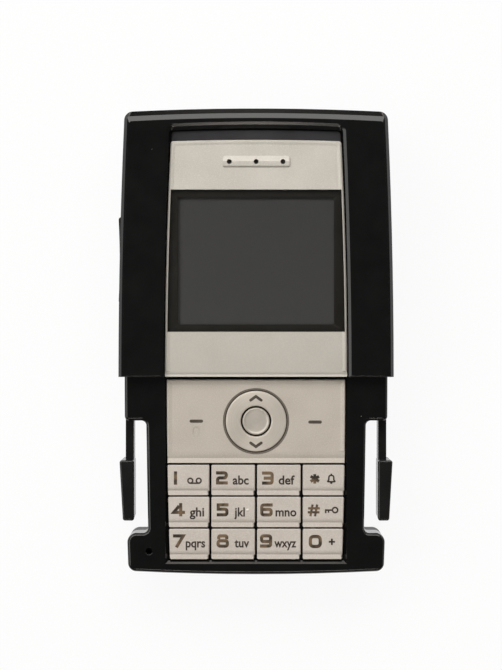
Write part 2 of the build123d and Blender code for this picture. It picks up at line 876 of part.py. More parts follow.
# Main board.
with BuildPart() as main_board:
    with BuildSketch(Plane.XY.offset(board_base)):
        add(board_shape())
    extrude(amount=board_thickness)
save(main_board, "main_board")

# Shield cans on the back of the board: one over the bay floor, one over the head room.
shield_lengths = (bay_head - holder_head - 2 * shield_margin, head_shield_length)
shield_centres = ((holder_head + bay_head) / 2, rear_cavity_foot + board_fit + head_shield_length / 2)
with BuildPart() as shield_cans:
    for centre, length in zip(shield_centres, shield_lengths):
        with BuildSketch(Plane.XY.offset(shield_base)):
            with Locations((0, centre)):
                RectangleRounded(shield_width, length, shield_edge)
        extrude(amount=shield_height)
    chamfer(shield_cans.faces().group_by(Axis.Z)[0].edges(), shield_edge)
save(shield_cans, "shield_cans")

# Card holder on the back of the board, open towards the foot for the card.
with BuildPart() as card_holder:
    with BuildSketch(Plane.XY.offset(floor_base)):
        with Locations((0, holder_y)):
            Rectangle(holder_width, holder_length)
    extrude(amount=board_base - floor_base)
    with BuildSketch(Plane.XY.offset(floor_base + bay_floor)):
        with Locations((0, holder_y - shell_wall)):
            Rectangle(card_width, holder_length)
    extrude(amount=card_thickness, mode=Mode.SUBTRACT)
save(card_holder, "card_holder")

# System connector at the foot, a row of contacts set back from the outline.
with BuildPart() as system_connector:
    with BuildSketch(Plane.XY.offset(board_base - connector_height)):
        with Locations((0, foot_y + (connector_set + connector_length) / 2)):
            Rectangle(connector_width, connector_length - connector_set)
    extrude(amount=connector_height)
    with BuildSketch(Plane.XY.offset(board_base - connector_height + contact_rise)):
        with Locations((0, foot_y + connector_set)):
            with GridLocations(contact_pitch, 0, contact_count, 1):
                Rectangle(contact_width, 2 * contact_depth)
    extrude(amount=contact_height, mode=Mode.SUBTRACT)
save(system_connector, "system_connector")

# Key domes and key lamps on the front of the board.
with BuildPart() as key_domes:
    with BuildSketch(Plane.XY.offset(board_top)):
        with Locations(*key_places, *panel_places):
            RegularPolygon(dome_radius, dome_sides)
    extrude(amount=dome_height, taper=dome_slope)
save(key_domes, "key_domes")

row_lines = [(upper + lower) / 2 for upper, lower in zip(row_centres, row_centres[1:])]
lamp_places = [(x, y) for x in (column_lines[0], column_lines[-1]) for y in row_lines]
lamp_lift = panel_height * lamp_panel_share
for x in (column_lines[0], column_lines[-1]):
    lamp_places += [(x, panel_y + lamp_lift), (x, panel_y - lamp_lift)]
with BuildPart() as key_lamps:
    with BuildSketch(Plane.XY.offset(board_top)):
        with Locations(*lamp_places):
            Rectangle(lamp_length, lamp_width)
    extrude(amount=dome_height)
save(key_lamps, "key_lamps")

# Keypad mat: a soft sheet over the domes, with a post under each key.
with BuildPart() as keypad_mat:
    mat_head = panel_head + field_fit
    mat_foot = cavity_foot + board_fit
    with BuildSketch(Plane.XY.offset(mat_base)) as mat_plan:
        with Locations((0, (mat_head + mat_foot) / 2)):
            Rectangle(2 * (cavity_half - board_fit), mat_head - mat_foot)
        fillet(mat_plan.vertices(), cavity_corner)
    extrude(amount=mat_thickness)
    with BuildSketch(Plane.XY.offset(mat_top)):
        with Locations(*key_places, *panel_places):
            Rectangle(post_width, post_width)
    extrude(amount=post_height)
save(keypad_mat, "keypad_mat")

# Twelve keys. Each has a flat face, a rounded slope below it that stops at a thin lip at its right end, and a
# lower ledge whose right end is set in. The outer columns follow the bowed sides of the field.
key_names = (("1", "2", "3", "star"), ("4", "5", "6", "hash"), ("7", "8", "9", "0"))
for row, centre in enumerate(row_centres):
    for column, name in enumerate(key_names[row]):
        with BuildPart() as key:
            with BuildSketch(Plane.XY.offset(key_base)) as key_plan:
                add(field_shape(0))
                with Locations(((cell_starts[column] + cell_ends[column]) / 2, centre)):
                    Rectangle(cell_ends[column] - cell_starts[column], key_height, mode=Mode.INTERSECT)
                fillet(key_plan.vertices(), key_corner)
            extrude(amount=key_depth)
            chamfer(key.faces().sort_by(Axis.Z)[-1].edges(), key_edge)
            key_end = key.part.bounding_box().max.X
            key_foot = centre - key_height / 2
            with BuildSketch(Plane.YZ.offset(key_end - key_lip)):
                add(ledge_cut(key_top, key_foot, key_slope, key_ledge, key_ledge_drop, key_ledge_rise))
            extrude(amount=-field_width, mode=Mode.SUBTRACT)
            with BuildSketch(Plane.XY.offset(key_base)) as end_cut:
                with Locations((key_end, key_foot)):
                    Rectangle(2 * ledge_inset, 2 * key_ledge)
                fillet(end_cut.vertices(), ledge_inset_corner)
            extrude(amount=key_depth, mode=Mode.SUBTRACT)
        save(key, f"key_{name}")

# Soft-key panel: rocks to the left and right. Its face is sunk inside a low rim, and it has a stepped round
# window for the ring.
with BuildPart() as softkey_panel:
    with BuildSketch(Plane.XY.offset(key_base)):
        add(field_shape(0))
        with Locations((0, panel_y)):
            Rectangle(field_width + overrun, panel_height, mode=Mode.INTERSECT)
    extrude(amount=key_depth)
    chamfer(softkey_panel.faces().sort_by(Axis.Z)[-1].edges(), key_edge)
    with BuildSketch(Plane.XY.offset(panel_field)):
        add(panel_shape(panel_rim + panel_rim_slope))
    with BuildSketch(Plane.XY.offset(key_top)):
        add(panel_shape(panel_rim))
    loft(ruled=True, mode=Mode.SUBTRACT)
    with BuildSketch(Plane.YZ):
        add(ledge_cut(panel_field, panel_foot, panel_slope, panel_ledge, panel_ledge_drop, panel_ledge_rise))
    extrude(amount=field_width, both=True, mode=Mode.SUBTRACT)
    with BuildSketch(Plane.XY.offset(key_base)):
        with Locations((0, panel_y)):
            Circle(ring_radius + ring_groove - ring_ledge)
    extrude(amount=key_depth + overrun, mode=Mode.SUBTRACT)
    with BuildSketch(Plane.XY.offset(key_top - ring_ledge_depth)):
        with Locations((0, panel_y)):
            Circle(ring_radius + ring_groove)
    extrude(amount=ring_ledge_depth + overrun, mode=Mode.SUBTRACT)
save(softkey_panel, "softkey_panel")

panel_axis = Axis((0, panel_y, 0), (0, 0, 1))

# Navigation ring: rocks up and down. Its face falls slightly from the bore to the rim.
with BuildPart() as nav_ring:
    bore = button_radius + button_gap
    with BuildSketch(Plane.XZ.offset(-panel_y)):
        with BuildLine():
            ring_top = key_top + ring_crown
            Polyline(
                (ring_radius - key_edge, key_top),
                (ring_radius, key_top - key_edge),
                (ring_radius, key_base),
                (bore, key_base),
                (bore, ring_top - key_edge),
                (bore + key_edge, ring_top),
            )
            TangentArc((bore + key_edge, ring_top), (ring_radius - key_edge, key_top), tangent=(1, 0))
        make_face()
    revolve(axis=panel_axis)
save(nav_ring, "nav_ring")

# Select button with a dished face inside a rounded rim.
with BuildPart() as select_button:
    with BuildSketch(Plane.XZ.offset(-panel_y)):
        with BuildLine():
            crest = (button_radius - button_edge, key_top + button_rise)
            side_top = (button_radius, crest[1] - button_edge)
            dish_end = (crest[0] - button_slope, crest[1] - button_dish)
            Polyline(dish_end, (0, dish_end[1]), (0, key_base), (button_radius, key_base), side_top)
            TangentArc(dish_end, crest, tangent=(1, 0))
            TangentArc(side_top, crest, tangent=(0, 1))
        make_face()
    revolve(axis=panel_axis)
save(select_button, "select_button")

# Roof-shaped earpiece bar with rounded corners, before it joins the faceplate.
with BuildPart() as ear_bar:
    with BuildSketch(Plane.YZ):
        with BuildLine():
            Polyline(
                [(ear_y + y * ear_bar_height, face_field + z * ear_bar_rise) for y, z in ear_bar_shares],
                close=True,
            )
        make_face()
    extrude(amount=ear_bar_length / 2, both=True)
    with BuildSketch(Plane.XY.offset(face_field)):
        with Locations((0, ear_y)):
            RectangleRounded(ear_bar_length, ear_bar_height, ear_bar_corner)
    extrude(amount=ear_bar_rise, mode=Mode.INTERSECT)

# Faceplate: a sunk face inside a low rim, the bare strip with its lower ledge, the pocket and window of the
# display, and the earpiece bar.
with BuildPart() as faceplate:
    with BuildSketch(Plane.XY.offset(shell_front)):
        add(face_shape(0))
    extrude(amount=face_thickness - face_edge)
    with BuildSketch(Plane.XY.offset(face_front - face_edge)):
        add(face_shape(0))
    with BuildSketch(Plane.XY.offset(face_front)):
        add(face_shape(face_bevel, face_bevel))
    loft(ruled=True)
    with BuildSketch(Plane.XY.offset(face_field)):
        add(face_shape(face_rim + face_rim_slope, face_rim + face_rim_slope, overrun))
    with BuildSketch(Plane.XY.offset(face_front)):
        add(face_shape(face_rim, face_rim, overrun))
    loft(ruled=True, mode=Mode.SUBTRACT)
    with BuildSketch(Plane.YZ):
        add(ledge_cut(face_field, face_foot, strip_slope, strip_ledge, strip_drop, strip_rise))
    extrude(amount=face_width, both=True, mode=Mode.SUBTRACT)
    add(ear_bar.part)
    with BuildSketch(Plane.XY.offset(ledge_top)):
        add(face_shape(lens_rim))
        with Locations((0, (lens_head + lens_foot) / 2)):
            Rectangle(face_width, lens_height, mode=Mode.INTERSECT)
    extrude(amount=face_thickness, mode=Mode.SUBTRACT)
    with BuildSketch(Plane.XY.offset(shell_front)):
        with Locations((0, view_y)):
            Rectangle(gasket_width + 2 * gasket_fit, gasket_height + 2 * gasket_fit)
        with Locations((0, ear_y)):
            with GridLocations(ear_hole_pitch, 0, ear_hole_count, 1):
                Circle(ear_hole / 2)
    extrude(amount=face_thickness + ear_bar_rise + overrun, mode=Mode.SUBTRACT)
save(faceplate, "faceplate")

# Lens and the printed mask behind it.
with BuildPart() as display_lens:
    with BuildSketch(Plane.XY.offset(lens_base)):
        add(face_shape(lens_rim + lens_fit))
        with Locations((0, (lens_head + lens_foot) / 2)):
            Rectangle(face_width, lens_height - 2 * lens_fit, mode=Mode.INTERSECT)
    extrude(amount=face_field - lens_set - lens_base)
    chamfer(display_lens.faces().sort_by(Axis.Z)[-1].edges(), lens_edge)
save(display_lens, "display_lens")

with BuildPart() as lens_mask:
    with BuildSketch(Plane.XY.offset(ledge_top)):
        add(face_shape(lens_rim + lens_fit))
        with Locations((0, (lens_head + lens_foot) / 2)):
            Rectangle(face_width, lens_height - 2 * lens_fit, mode=Mode.INTERSECT)
        with Locations((0, view_y)):
            RectangleRounded(view_width, view_height, view_corner, mode=Mode.SUBTRACT)
    extrude(amount=mask_thickness)
save(lens_mask, "lens_mask")

# Gasket, panel, backlight and flex of the display.
with BuildPart() as display_gasket:
    with BuildSketch(Plane.XY.offset(glass_top)):
        with Locations((0, view_y)):
            Rectangle(gasket_width, gasket_height)
            Rectangle(view_width + 2 * gasket_inset, view_height + 2 * gasket_inset, mode=Mode.SUBTRACT)
    extrude(amount=ledge_top - glass_top)
save(display_gasket, "display_gasket")

with BuildPart() as lcd_panel:
    with BuildSketch(Plane.XY.offset(glass_base)):
        with Locations((0, glass_y)):
            Rectangle(glass_width, glass_height)
    extrude(amount=glass_thickness)
save(lcd_panel, "lcd_panel")

with BuildPart() as lcd_backlight:
    with BuildSketch(Plane.XY.offset(board_top)):
        with Locations((0, glass_y)):
            RectangleRounded(glass_width - 2 * frame_fit, glass_height - 2 * frame_fit, frame_fit)
    extrude(amount=glass_base - board_top)
save(lcd_backlight, "lcd_backlight")

with BuildPart() as lcd_flex:
    with BuildSketch(Plane.XY.offset(board_top)):
        with Locations((0, glass_foot - flex_gap - flex_thickness / 2)):
            Rectangle(flex_width, flex_thickness)
    extrude(amount=deck_base - flex_gap - board_top)
save(lcd_flex, "lcd_flex")

# Dark insert strip between the faceplate and the head of the opening.
with BuildPart() as top_insert:
    insert_half = face_half - face_inset - insert_inset
    with BuildSketch(Plane.XY.offset(shell_front)) as insert_plan:
        with BuildLine():
            for edge in (insert_foot, insert_head):
                ThreePointArc((-insert_half, edge - face_bow), (0, edge), (insert_half, edge - face_bow))
            for x in (insert_half, -insert_half):
                Line((x, insert_foot - face_bow), (x, insert_head - face_bow))
        make_face()
        fillet(insert_plan.vertices().sort_by(Axis.Y)[-2:], insert_corner)
    extrude(amount=insert_thickness)
save(top_insert, "top_insert")

# Earpiece receiver between the board and the deck.
with BuildPart() as earpiece_receiver:
    with BuildSketch(Plane.XY.offset(board_top)):
        with Locations((0, ear_y)):
            RectangleRounded(receiver_length, receiver_width, receiver_corner)
    extrude(amount=deck_base - board_top)
save(earpiece_receiver, "earpiece_receiver")

# Microphone in its soft boot, behind the port in the left foot.
with BuildPart() as microphone:
    with BuildSketch(Plane.XY.offset(deck_base - mic_height)):
        with Locations((-mic_x, foot_y + mic_rise)):
            Circle(mic_radius - boot_fit)
    extrude(amount=mic_height)
save(microphone, "microphone")

with BuildPart() as microphone_boot:
    with BuildSketch(Plane.XY.offset(deck_base - mic_height)):
        with Locations((-mic_x, foot_y + mic_rise)):
            Circle(mic_radius + boot_wall)
            Circle(mic_radius, mode=Mode.SUBTRACT)
    extrude(amount=mic_height)
save(microphone_boot, "microphone_boot")

# Ringer behind the sound slots of the back.
with BuildPart() as ringer_speaker:
    with BuildSketch(Plane.XY.offset(back_wall)):
        with Locations((-ringer_x, ringer_y)):
            Circle(ringer_radius)
    extrude(amount=ringer_height)
    chamfer(ringer_speaker.faces().sort_by(Axis.Z)[-1].edges(), ringer_edge)
save(ringer_speaker, "ringer_speaker")

# Vibration motor with its shaft, and the half-round weight that turns on it.
with BuildPart() as vibration_motor:
    with BuildSketch(Plane.YZ.offset(motor_x)):
        with Locations((motor_y, motor_z)):
            Circle(motor_radius)
    extrude(amount=motor_length)
    with BuildSketch(Plane.YZ.offset(motor_x + motor_length)):
        with Locations((motor_y, motor_z)):
            Circle(shaft_radius)
    extrude(amount=weight_gap + weight_length)
save(vibration_motor, "vibration_motor")

with BuildPart() as vibration_weight:
    with BuildSketch(Plane.YZ.offset(motor_x + motor_length + weight_gap)):
        with Locations((motor_y, motor_z)):
            Circle(weight_radius)
        with Locations((motor_y, motor_z + weight_radius / 2 + shaft_radius + weight_wall)):
            Rectangle(2 * weight_radius, weight_radius, mode=Mode.SUBTRACT)
        with Locations((motor_y, motor_z)):
            Circle(shaft_radius + shaft_fit, mode=Mode.SUBTRACT)
    extrude(amount=weight_length)
save(vibration_weight, "vibration_weight")

# Antenna plate under its carrier, in the head of the rear shell.
carrier_y = cavity_head - board_fit - carrier_length / 2
with BuildPart() as antenna_carrier:
    with BuildSketch(Plane.XY.offset(board_base - carrier_height)):
        with Locations((0, carrier_y)):
            Rectangle(carrier_width, carrier_length)
    extrude(amount=carrier_height)
save(antenna_carrier, "antenna_carrier")

with BuildPart() as antenna_plate:
    with BuildSketch(Plane.XY.offset(board_base - carrier_height - antenna_thickness)):
        with Locations((0, carrier_y)):
            Rectangle(carrier_width, carrier_length)
        with Locations((antenna_slot, carrier_y)):
            Rectangle(carrier_width, antenna_slot, mode=Mode.SUBTRACT)
    extrude(amount=antenna_thickness)
save(antenna_plate, "antenna_plate")

# Clip arms: a strip with an eye for the pin, and a deep barbed pad whose shoulder catches outside the body.
with BuildPart() as clip_arm_right:
    with BuildSketch(Plane.XY.offset(arm_base)):
        with Locations((pivot_x, pivot_y)):
            Circle(eye_radius)
        with Locations((arm_inner + arm_thickness / 2, (pivot_y + pad_head - pad_corner) / 2)):
            Rectangle(arm_thickness, pivot_y - pad_head + pad_corner)
    extrude(amount=arm_depth)
    with BuildSketch(Plane.XY.offset(pad_base)):
        add(pad_shape(arm_inner + pad_inset))
    with BuildSketch(Plane.XY.offset(pad_base + pad_depth)):
        add(pad_shape(arm_inner + pad_inset - pad_lean))
    loft(ruled=True)
    pad_ends = clip_arm_right.faces().filter_by(Axis.Z).sort_by(Axis.Z)
    fillet(pad_ends[0].edges() + pad_ends[-1].edges(), pad_edge)
    with BuildSketch(Plane.XY.offset(arm_base)):
        with Locations((pivot_x, pivot_y)):
            Circle(pin_radius + 2 * pin_fit)
    extrude(amount=arm_depth, mode=Mode.SUBTRACT)
save(clip_arm_right, "clip_arm_right")

with BuildPart() as clip_arm_left:
    mirror(clip_arm_right.part, about=Plane.YZ)
save(clip_arm_left, "clip_arm_left")

# Pins of both arms, held in the front and rear shells.
with BuildPart() as arm_pins:
    pin_base = arm_base - channel_gap - pin_bite
    with BuildSketch(Plane.XY.offset(pin_base)):
        with Locations((pivot_x, pivot_y), (-pivot_x, pivot_y)):
            Circle(pin_radius)
    extrude(amount=arm_top + channel_gap + pin_bite - pin_base)
save(arm_pins, "arm_pins")

# Bowed leaf springs between the arms and the inner walls of their recesses.
spring_head = pivot_y - eye_radius - channel_gap
spring_foot = notch_head + spring_gap
with BuildPart() as arm_spring_right:
    with BuildSketch(Plane.XY.offset(arm_base)):
        with BuildLine():
            for back in (0, spring_thickness):
                ThreePointArc(
                    (channel_inner + spring_thickness - back, spring_head),
                    (arm_inner - spring_gap - back, (spring_head + spring_foot) / 2),
                    (channel_inner + spring_thickness - back, spring_foot),
                )
            for end in (spring_head, spring_foot):
                Line((channel_inner, end), (channel_inner + spring_thickness, end))
        make_face()
    extrude(amount=arm_depth)
save(arm_spring_right, "arm_spring_right")

with BuildPart() as arm_spring_left:
    mirror(arm_spring_right.part, about=Plane.YZ)
save(arm_spring_left, "arm_spring_left")

# Side key: a rocker with a dipped face and a rib at its back to rock on. Two switches lie under its ends.
with BuildPart() as side_key:
    with BuildSketch(Plane.XY.offset(side_key_base)) as side_plan:
        head_end = side_key_y + side_key_length / 2
        foot_end = side_key_y - side_key_length / 2
        with BuildLine():
            ThreePointArc(
                (-side_key_face, head_end),
                (-side_key_face + side_key_dip, side_key_y),
                (-side_key_face, foot_end),
            )
            Polyline(
                (-side_key_face, foot_end),
                (-side_key_back, foot_end),
                (-side_key_back, head_end),
                (-side_key_face, head_end),
            )
        make_face()
        fillet(side_plan.vertices().sort_by(Axis.X)[:2], side_key_corner)
        with Locations((-side_key_back, side_key_y)):
            Circle(side_rib - side_rib_gap)
    extrude(amount=side_key_depth)
save(side_key, "side_key")

with BuildPart() as side_switches:
    for side in (1, -1):
        with BuildSketch(Plane.YZ.offset(side_pocket - housing_half)):
            with Locations((side_key_y + side * switch_offset, side_key_height)):
                Circle(switch_radius)
        extrude(amount=-switch_thickness)
save(side_switches, "side_switches")

# Four housing screws, driven in from the back.
with BuildPart() as housing_screws:
    with BuildSketch(Plane.XY.offset(screw_head_set)):
        with Locations(*screw_places, *brow_screw_places):
            Circle(screw_head_radius)
    extrude(amount=screw_head_height)
    with BuildSketch(Plane.XY.offset(head_seat)):
        with Locations(*screw_places, *brow_screw_places):
            Circle(screw_radius)
    extrude(amount=parting + screw_bite - head_seat)
    with BuildSketch(Plane.XY.offset(screw_head_set)):
        with Locations(*screw_places, *brow_screw_places):
            RegularPolygon(screw_drive, screw_drive_sides)
    extrude(amount=screw_drive_depth, mode=Mode.SUBTRACT)
save(housing_screws, "housing_screws")
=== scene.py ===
import json
import math
import bmesh
import bpy
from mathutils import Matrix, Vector


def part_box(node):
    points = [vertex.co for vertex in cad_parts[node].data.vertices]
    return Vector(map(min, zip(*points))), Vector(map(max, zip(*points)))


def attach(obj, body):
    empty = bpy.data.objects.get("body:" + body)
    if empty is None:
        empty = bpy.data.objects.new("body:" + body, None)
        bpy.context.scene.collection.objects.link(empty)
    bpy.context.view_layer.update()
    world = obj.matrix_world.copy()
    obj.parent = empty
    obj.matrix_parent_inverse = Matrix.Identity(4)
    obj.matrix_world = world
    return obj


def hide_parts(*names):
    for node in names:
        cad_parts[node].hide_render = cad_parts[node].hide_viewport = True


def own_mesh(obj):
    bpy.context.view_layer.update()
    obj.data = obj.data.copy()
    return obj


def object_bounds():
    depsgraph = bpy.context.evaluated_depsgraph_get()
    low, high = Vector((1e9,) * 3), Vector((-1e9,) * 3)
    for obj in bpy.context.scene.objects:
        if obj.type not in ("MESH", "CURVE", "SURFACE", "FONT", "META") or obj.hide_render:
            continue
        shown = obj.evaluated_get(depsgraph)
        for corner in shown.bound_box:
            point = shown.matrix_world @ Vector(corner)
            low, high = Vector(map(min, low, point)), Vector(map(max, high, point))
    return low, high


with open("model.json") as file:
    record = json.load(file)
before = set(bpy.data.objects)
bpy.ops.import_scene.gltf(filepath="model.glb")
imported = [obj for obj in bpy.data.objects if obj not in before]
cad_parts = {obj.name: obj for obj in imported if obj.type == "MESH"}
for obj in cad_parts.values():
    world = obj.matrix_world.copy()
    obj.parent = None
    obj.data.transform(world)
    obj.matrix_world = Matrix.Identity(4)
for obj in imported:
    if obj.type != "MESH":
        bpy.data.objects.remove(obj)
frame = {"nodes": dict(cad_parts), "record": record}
cad_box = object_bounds()
nodes = frame["nodes"]
MM = 0.001

# Camera: straight above the phone, as in the photograph. IMAGE is the photograph's size in pixels, and PIXEL
# is the size of one at the level of the collar's top.
IMAGE = (502, 670)
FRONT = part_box("upper_front_shell")[1].z
DISTANCE = 0.370
PIXEL = 0.18116 * MM
CENTRE = Vector((-0.924 * MM, 1.263 * MM, 0))
SENSOR = 36

camera_data = bpy.data.cameras.new("camera")
camera_data.sensor_width = SENSOR
camera_data.lens = SENSOR * DISTANCE / (IMAGE[1] * PIXEL)
camera = bpy.data.objects.new("camera", camera_data)
camera.location = (CENTRE.x, CENTRE.y, FRONT + DISTANCE)
bpy.context.scene.collection.objects.link(camera)
bpy.context.scene.camera = camera


def spot(x, y, level):
    """Place on a level surface, in metres, that the photograph shows at this pixel."""
    reach = PIXEL * (DISTANCE + FRONT - level) / DISTANCE
    return CENTRE.x + (x - IMAGE[0] / 2) * reach, CENTRE.y - (y - IMAGE[1] / 2) * reach


# Helpers for materials. Noise scales are per metre, and a relief is a strength and a depth in metres.
def shader(name):
    """New node material and its principled shader."""
    made = bpy.data.materials.new(name)
    made.use_nodes = True
    return made, made.node_tree.nodes["Principled BSDF"]


def add_node(made, kind, **values):
    """New node in a material or world. Names of inputs and of settings are both accepted."""
    node = made.node_tree.nodes.new(kind)
    for name, value in values.items():
        label = name.replace("_", " ").title()
        if label in node.inputs:
            node.inputs[label].default_value = value
        else:
            setattr(node, name, value)
    return node


def join(made, source, target):
    """Links an output to an input."""
    made.node_tree.links.new(source, target)


def coordinate(made, output="Object"):
    """Place in the part's own frame, or another output of that node."""
    return add_node(made, "ShaderNodeTexCoord").outputs[output]


def split(made, vector):
    """Outputs X, Y and Z of a vector."""
    node = add_node(made, "ShaderNodeSeparateXYZ")
    join(made, vector, node.inputs["Vector"])
    return node.outputs


def noise(made, scale, detail, stretch=None):
    """Noise in the part's own frame."""
    place = coordinate(made)
    if stretch:
        mapping = add_node(made, "ShaderNodeMapping")
        mapping.inputs["Scale"].default_value = stretch
        join(made, place, mapping.inputs["Vector"])
        place = mapping.outputs["Vector"]
    texture = add_node(made, "ShaderNodeTexNoise", scale=scale, detail=detail)
    join(made, place, texture.inputs["Vector"])
    return texture.outputs["Fac"]


def span(made, source, low, high, start=0.3, end=0.7):
    """Source stretched from start-end to low-high."""
    node = add_node(made, "ShaderNodeMapRange", from_min=start, from_max=end, to_min=low, to_max=high)
    join(made, source, node.inputs["Value"])
    return node.outputs["Result"]


def blend(made, factor, first, second):
    """Mix of two colours."""
    node = add_node(made, "ShaderNodeMix", data_type="RGBA")
    join(made, factor, node.inputs[0])
    for socket, value in ((node.inputs[6], first), (node.inputs[7], second)):
        if isinstance(value, tuple):
            socket.default_value = (*value, 1)
        else:
            join(made, value, socket)
    return node.outputs[2]


def sums(made, operation, first, second):
    """Result of a sum with two values, each a number or an output."""
    node = add_node(made, "ShaderNodeMath", operation=operation)
    for socket, value in zip(node.inputs, (first, second)):
        if isinstance(value, (int, float)):
            socket.default_value = value
        else:
            join(made, value, socket)
    return node.outputs[0]


def relief(made, bsdf, height, strength, depth):
    """Bump of the given strength and depth."""
    node = add_node(made, "ShaderNodeBump", strength=strength, distance=depth)
    join(made, height, node.inputs["Height"])
    join(made, node.outputs["Normal"], bsdf.inputs["Normal"])


def brighter(colour, gain):
    """Colour times a gain, up to white."""
    return tuple(min(1.0, channel * gain) for channel in colour)


# Moulded plastic.
MOTTLE_SCALE = 260
SMUDGE_SCALE = 90
GRAIN_STRENGTH = 0.5
DUST_SCALE = 420
DUST_SIZE = 0.03
DUST_COLOUR = (0.2, 0.18, 0.16)


def specks(made, share):
    """Sparse small specks of dust in a share of the cells of a pattern."""
    cells = add_node(made, "ShaderNodeTexVoronoi", scale=DUST_SCALE)
    join(made, coordinate(made), cells.inputs["Vector"])
    near = sums(made, "LESS_THAN", cells.outputs["Distance"], DUST_SIZE)
    parts = add_node(made, "ShaderNodeSeparateColor")
    join(made, cells.outputs["Color"], parts.inputs["Color"])
    rare = sums(made, "LESS_THAN", parts.outputs["Red"], share)
    return sums(made, "MULTIPLY", near, rare)


def moulded(name, dark, light, rough, grain, depth, dust=0.0, gloss=0.5):
    """Moulded plastic: slight mottling, smudged gloss, fine surface grain and a little dust."""
    made, bsdf = shader(name)
    colour = blend(made, span(made, noise(made, MOTTLE_SCALE, detail=4), 0, 1), dark, light)
    if dust:
        colour = blend(made, specks(made, dust), colour, DUST_COLOUR)
    join(made, colour, bsdf.inputs["Base Color"])
    join(made, span(made, noise(made, SMUDGE_SCALE, detail=5), *rough), bsdf.inputs["Roughness"])
    bsdf.inputs["Specular IOR Level"].default_value = gloss
    relief(made, bsdf, noise(made, grain, detail=3), GRAIN_STRENGTH, depth)
    return made


# Silver paint, flat and over spun faces.
CLOUD_SCALE = 150
SHEEN_SCALE = 340
FLAKE_SCALE = 5200
FLAKE_RANGE = (0.45, 0.75)
FLAKE_SHARE = 0.55
FLAKE_GAIN = 1.22
PAINT_GRAIN = 6400
PAINT_RELIEF = (0.35, 4e-6)
PAINT_ROUGH = (0.40, 0.52)
PAINT_METALLIC = 0.08
PAINT_GLOSS = 0.3
# Painted shade along the faceplate: how much of it there is, and how dark it gets.
SHADE_SHARE = 0.42
SHADE_GAIN = 0.72
# Painted shade on walls that face sideways, which darkens the gaps between keys.
SHADED_FLANK_RANGE = (0.15, 0.45)
RING_SCALE = 9000
RING_RANGE = (0.4, 0.7)
RING_SHARE = 0.5
RING_GAIN = 1.16
RING_RELIEF = (0.25, 2e-6)
SPUN_ROUGH = (0.34, 0.42)
SPUN_METALLIC = 0.3
SPUN_FAN = 0.6


def clouded(made, dark, light):
    """Soft clouding between two colours."""
    return blend(made, span(made, noise(made, CLOUD_SCALE, detail=4), 0, 1), dark, light)


def painted(name, dark, light, painted_shade=None, shaded_flanks=None):
    """Silver paint: fine metallic flakes over a warm grey, with soft clouding.

    Painted shade darkens it from one Y to another. Shaded flanks is the dark colour of the upright walls,
    which bear no paint and stand in painted shade.
    """
    made, bsdf = shader(name)
    flakes = span(made, noise(made, FLAKE_SCALE, detail=2), 0, FLAKE_SHARE, *FLAKE_RANGE)
    colour = blend(made, flakes, clouded(made, dark, light), brighter(light, FLAKE_GAIN))
    # Painted shade: darker from one Y to another, for the way light falls along the face.
    if painted_shade:
        along = span(made, split(made, coordinate(made))["Y"], 0, SHADE_SHARE, *painted_shade)
        colour = blend(made, along, colour, brighter(dark, SHADE_GAIN))
    # Walls that face sideways take the dark colour: bare of paint, and painted shade in the gaps.
    if shaded_flanks:
        upward = split(made, coordinate(made, "Normal"))["Z"]
        colour = blend(made, span(made, upward, 1, 0, *SHADED_FLANK_RANGE), colour, shaded_flanks)
    join(made, colour, bsdf.inputs["Base Color"])
    join(made, span(made, noise(made, SHEEN_SCALE, detail=4), *PAINT_ROUGH), bsdf.inputs["Roughness"])
    bsdf.inputs["Metallic"].default_value = PAINT_METALLIC
    bsdf.inputs["Specular IOR Level"].default_value = PAINT_GLOSS
    relief(made, bsdf, noise(made, PAINT_GRAIN, detail=2), *PAINT_RELIEF)
    return made


def spun(name, dark, light, axis):
    """Silver paint over a spun face. Its grain runs round an upright axis, and its sheen fans out."""
    made, bsdf = shader(name)
    away = add_node(made, "ShaderNodeVectorMath", operation="SUBTRACT")
    away.inputs[1].default_value = (axis.x, axis.y, 0)
    join(made, coordinate(made), away.inputs[0])
    flat = add_node(made, "ShaderNodeVectorMath", operation="MULTIPLY")
    flat.inputs[1].default_value = (1, 1, 0)
    join(made, away.outputs[0], flat.inputs[0])
    radius = add_node(made, "ShaderNodeVectorMath", operation="LENGTH")
    join(made, flat.outputs[0], radius.inputs[0])
    rings = add_node(made, "ShaderNodeTexNoise", noise_dimensions="1D", scale=RING_SCALE, detail=3)
    join(made, radius.outputs["Value"], rings.inputs["W"])
    lines = span(made, rings.outputs["Fac"], 0, RING_SHARE, *RING_RANGE)
    colour = blend(made, lines, clouded(made, dark, light), brighter(light, RING_GAIN))
    join(made, colour, bsdf.inputs["Base Color"])
    join(made, span(made, noise(made, SHEEN_SCALE, detail=4), *SPUN_ROUGH), bsdf.inputs["Roughness"])
    outward = add_node(made, "ShaderNodeVectorMath", operation="NORMALIZE")
    join(made, flat.outputs[0], outward.inputs[0])
    join(made, outward.outputs[0], bsdf.inputs["Tangent"])
    bsdf.inputs["Anisotropic"].default_value = SPUN_FAN
    bsdf.inputs["Metallic"].default_value = SPUN_METALLIC
    relief(made, bsdf, rings.outputs["Fac"], *RING_RELIEF)
    return made


# Bare metal, print, clear lens and display.
METAL_SCALE = 1400
METAL_RELIEF = (0.3, 3e-6)
POLISH_SHARE = 0.25
# Painted reflection in the foil print: the scale and range of its turn from dark to light.
FOIL_SHEEN_SCALE = 620
FOIL_SHEEN_RANGE = (0.38, 0.62)
FOIL_GRAIN = 2600
FOIL_ROUGH = (0.32, 0.5)
FOIL_METALLIC = 0.35
LENS_SCALE = 160
LENS_COLOUR = (0.012, 0.012, 0.011, 1)
LENS_ROUGH = (0.03, 0.09)
LENS_BLEND = 0.25
LENS_COVER = (0.10, 0.85)
LENS_SLANT = (0.0, 0.6)
GLASS_SCALE = 700
GLASS_ROUGH = (0.3, 0.4)
DISPLAY_FOOT = 3 * MM
DISPLAY_HEAD = 26 * MM
HALF_DOT = 0.14 * MM
DOT_LINE = 0.02 * MM
DOT_SHARE = 0.12
DOT_COLOUR = (0.02, 0.02, 0.02)


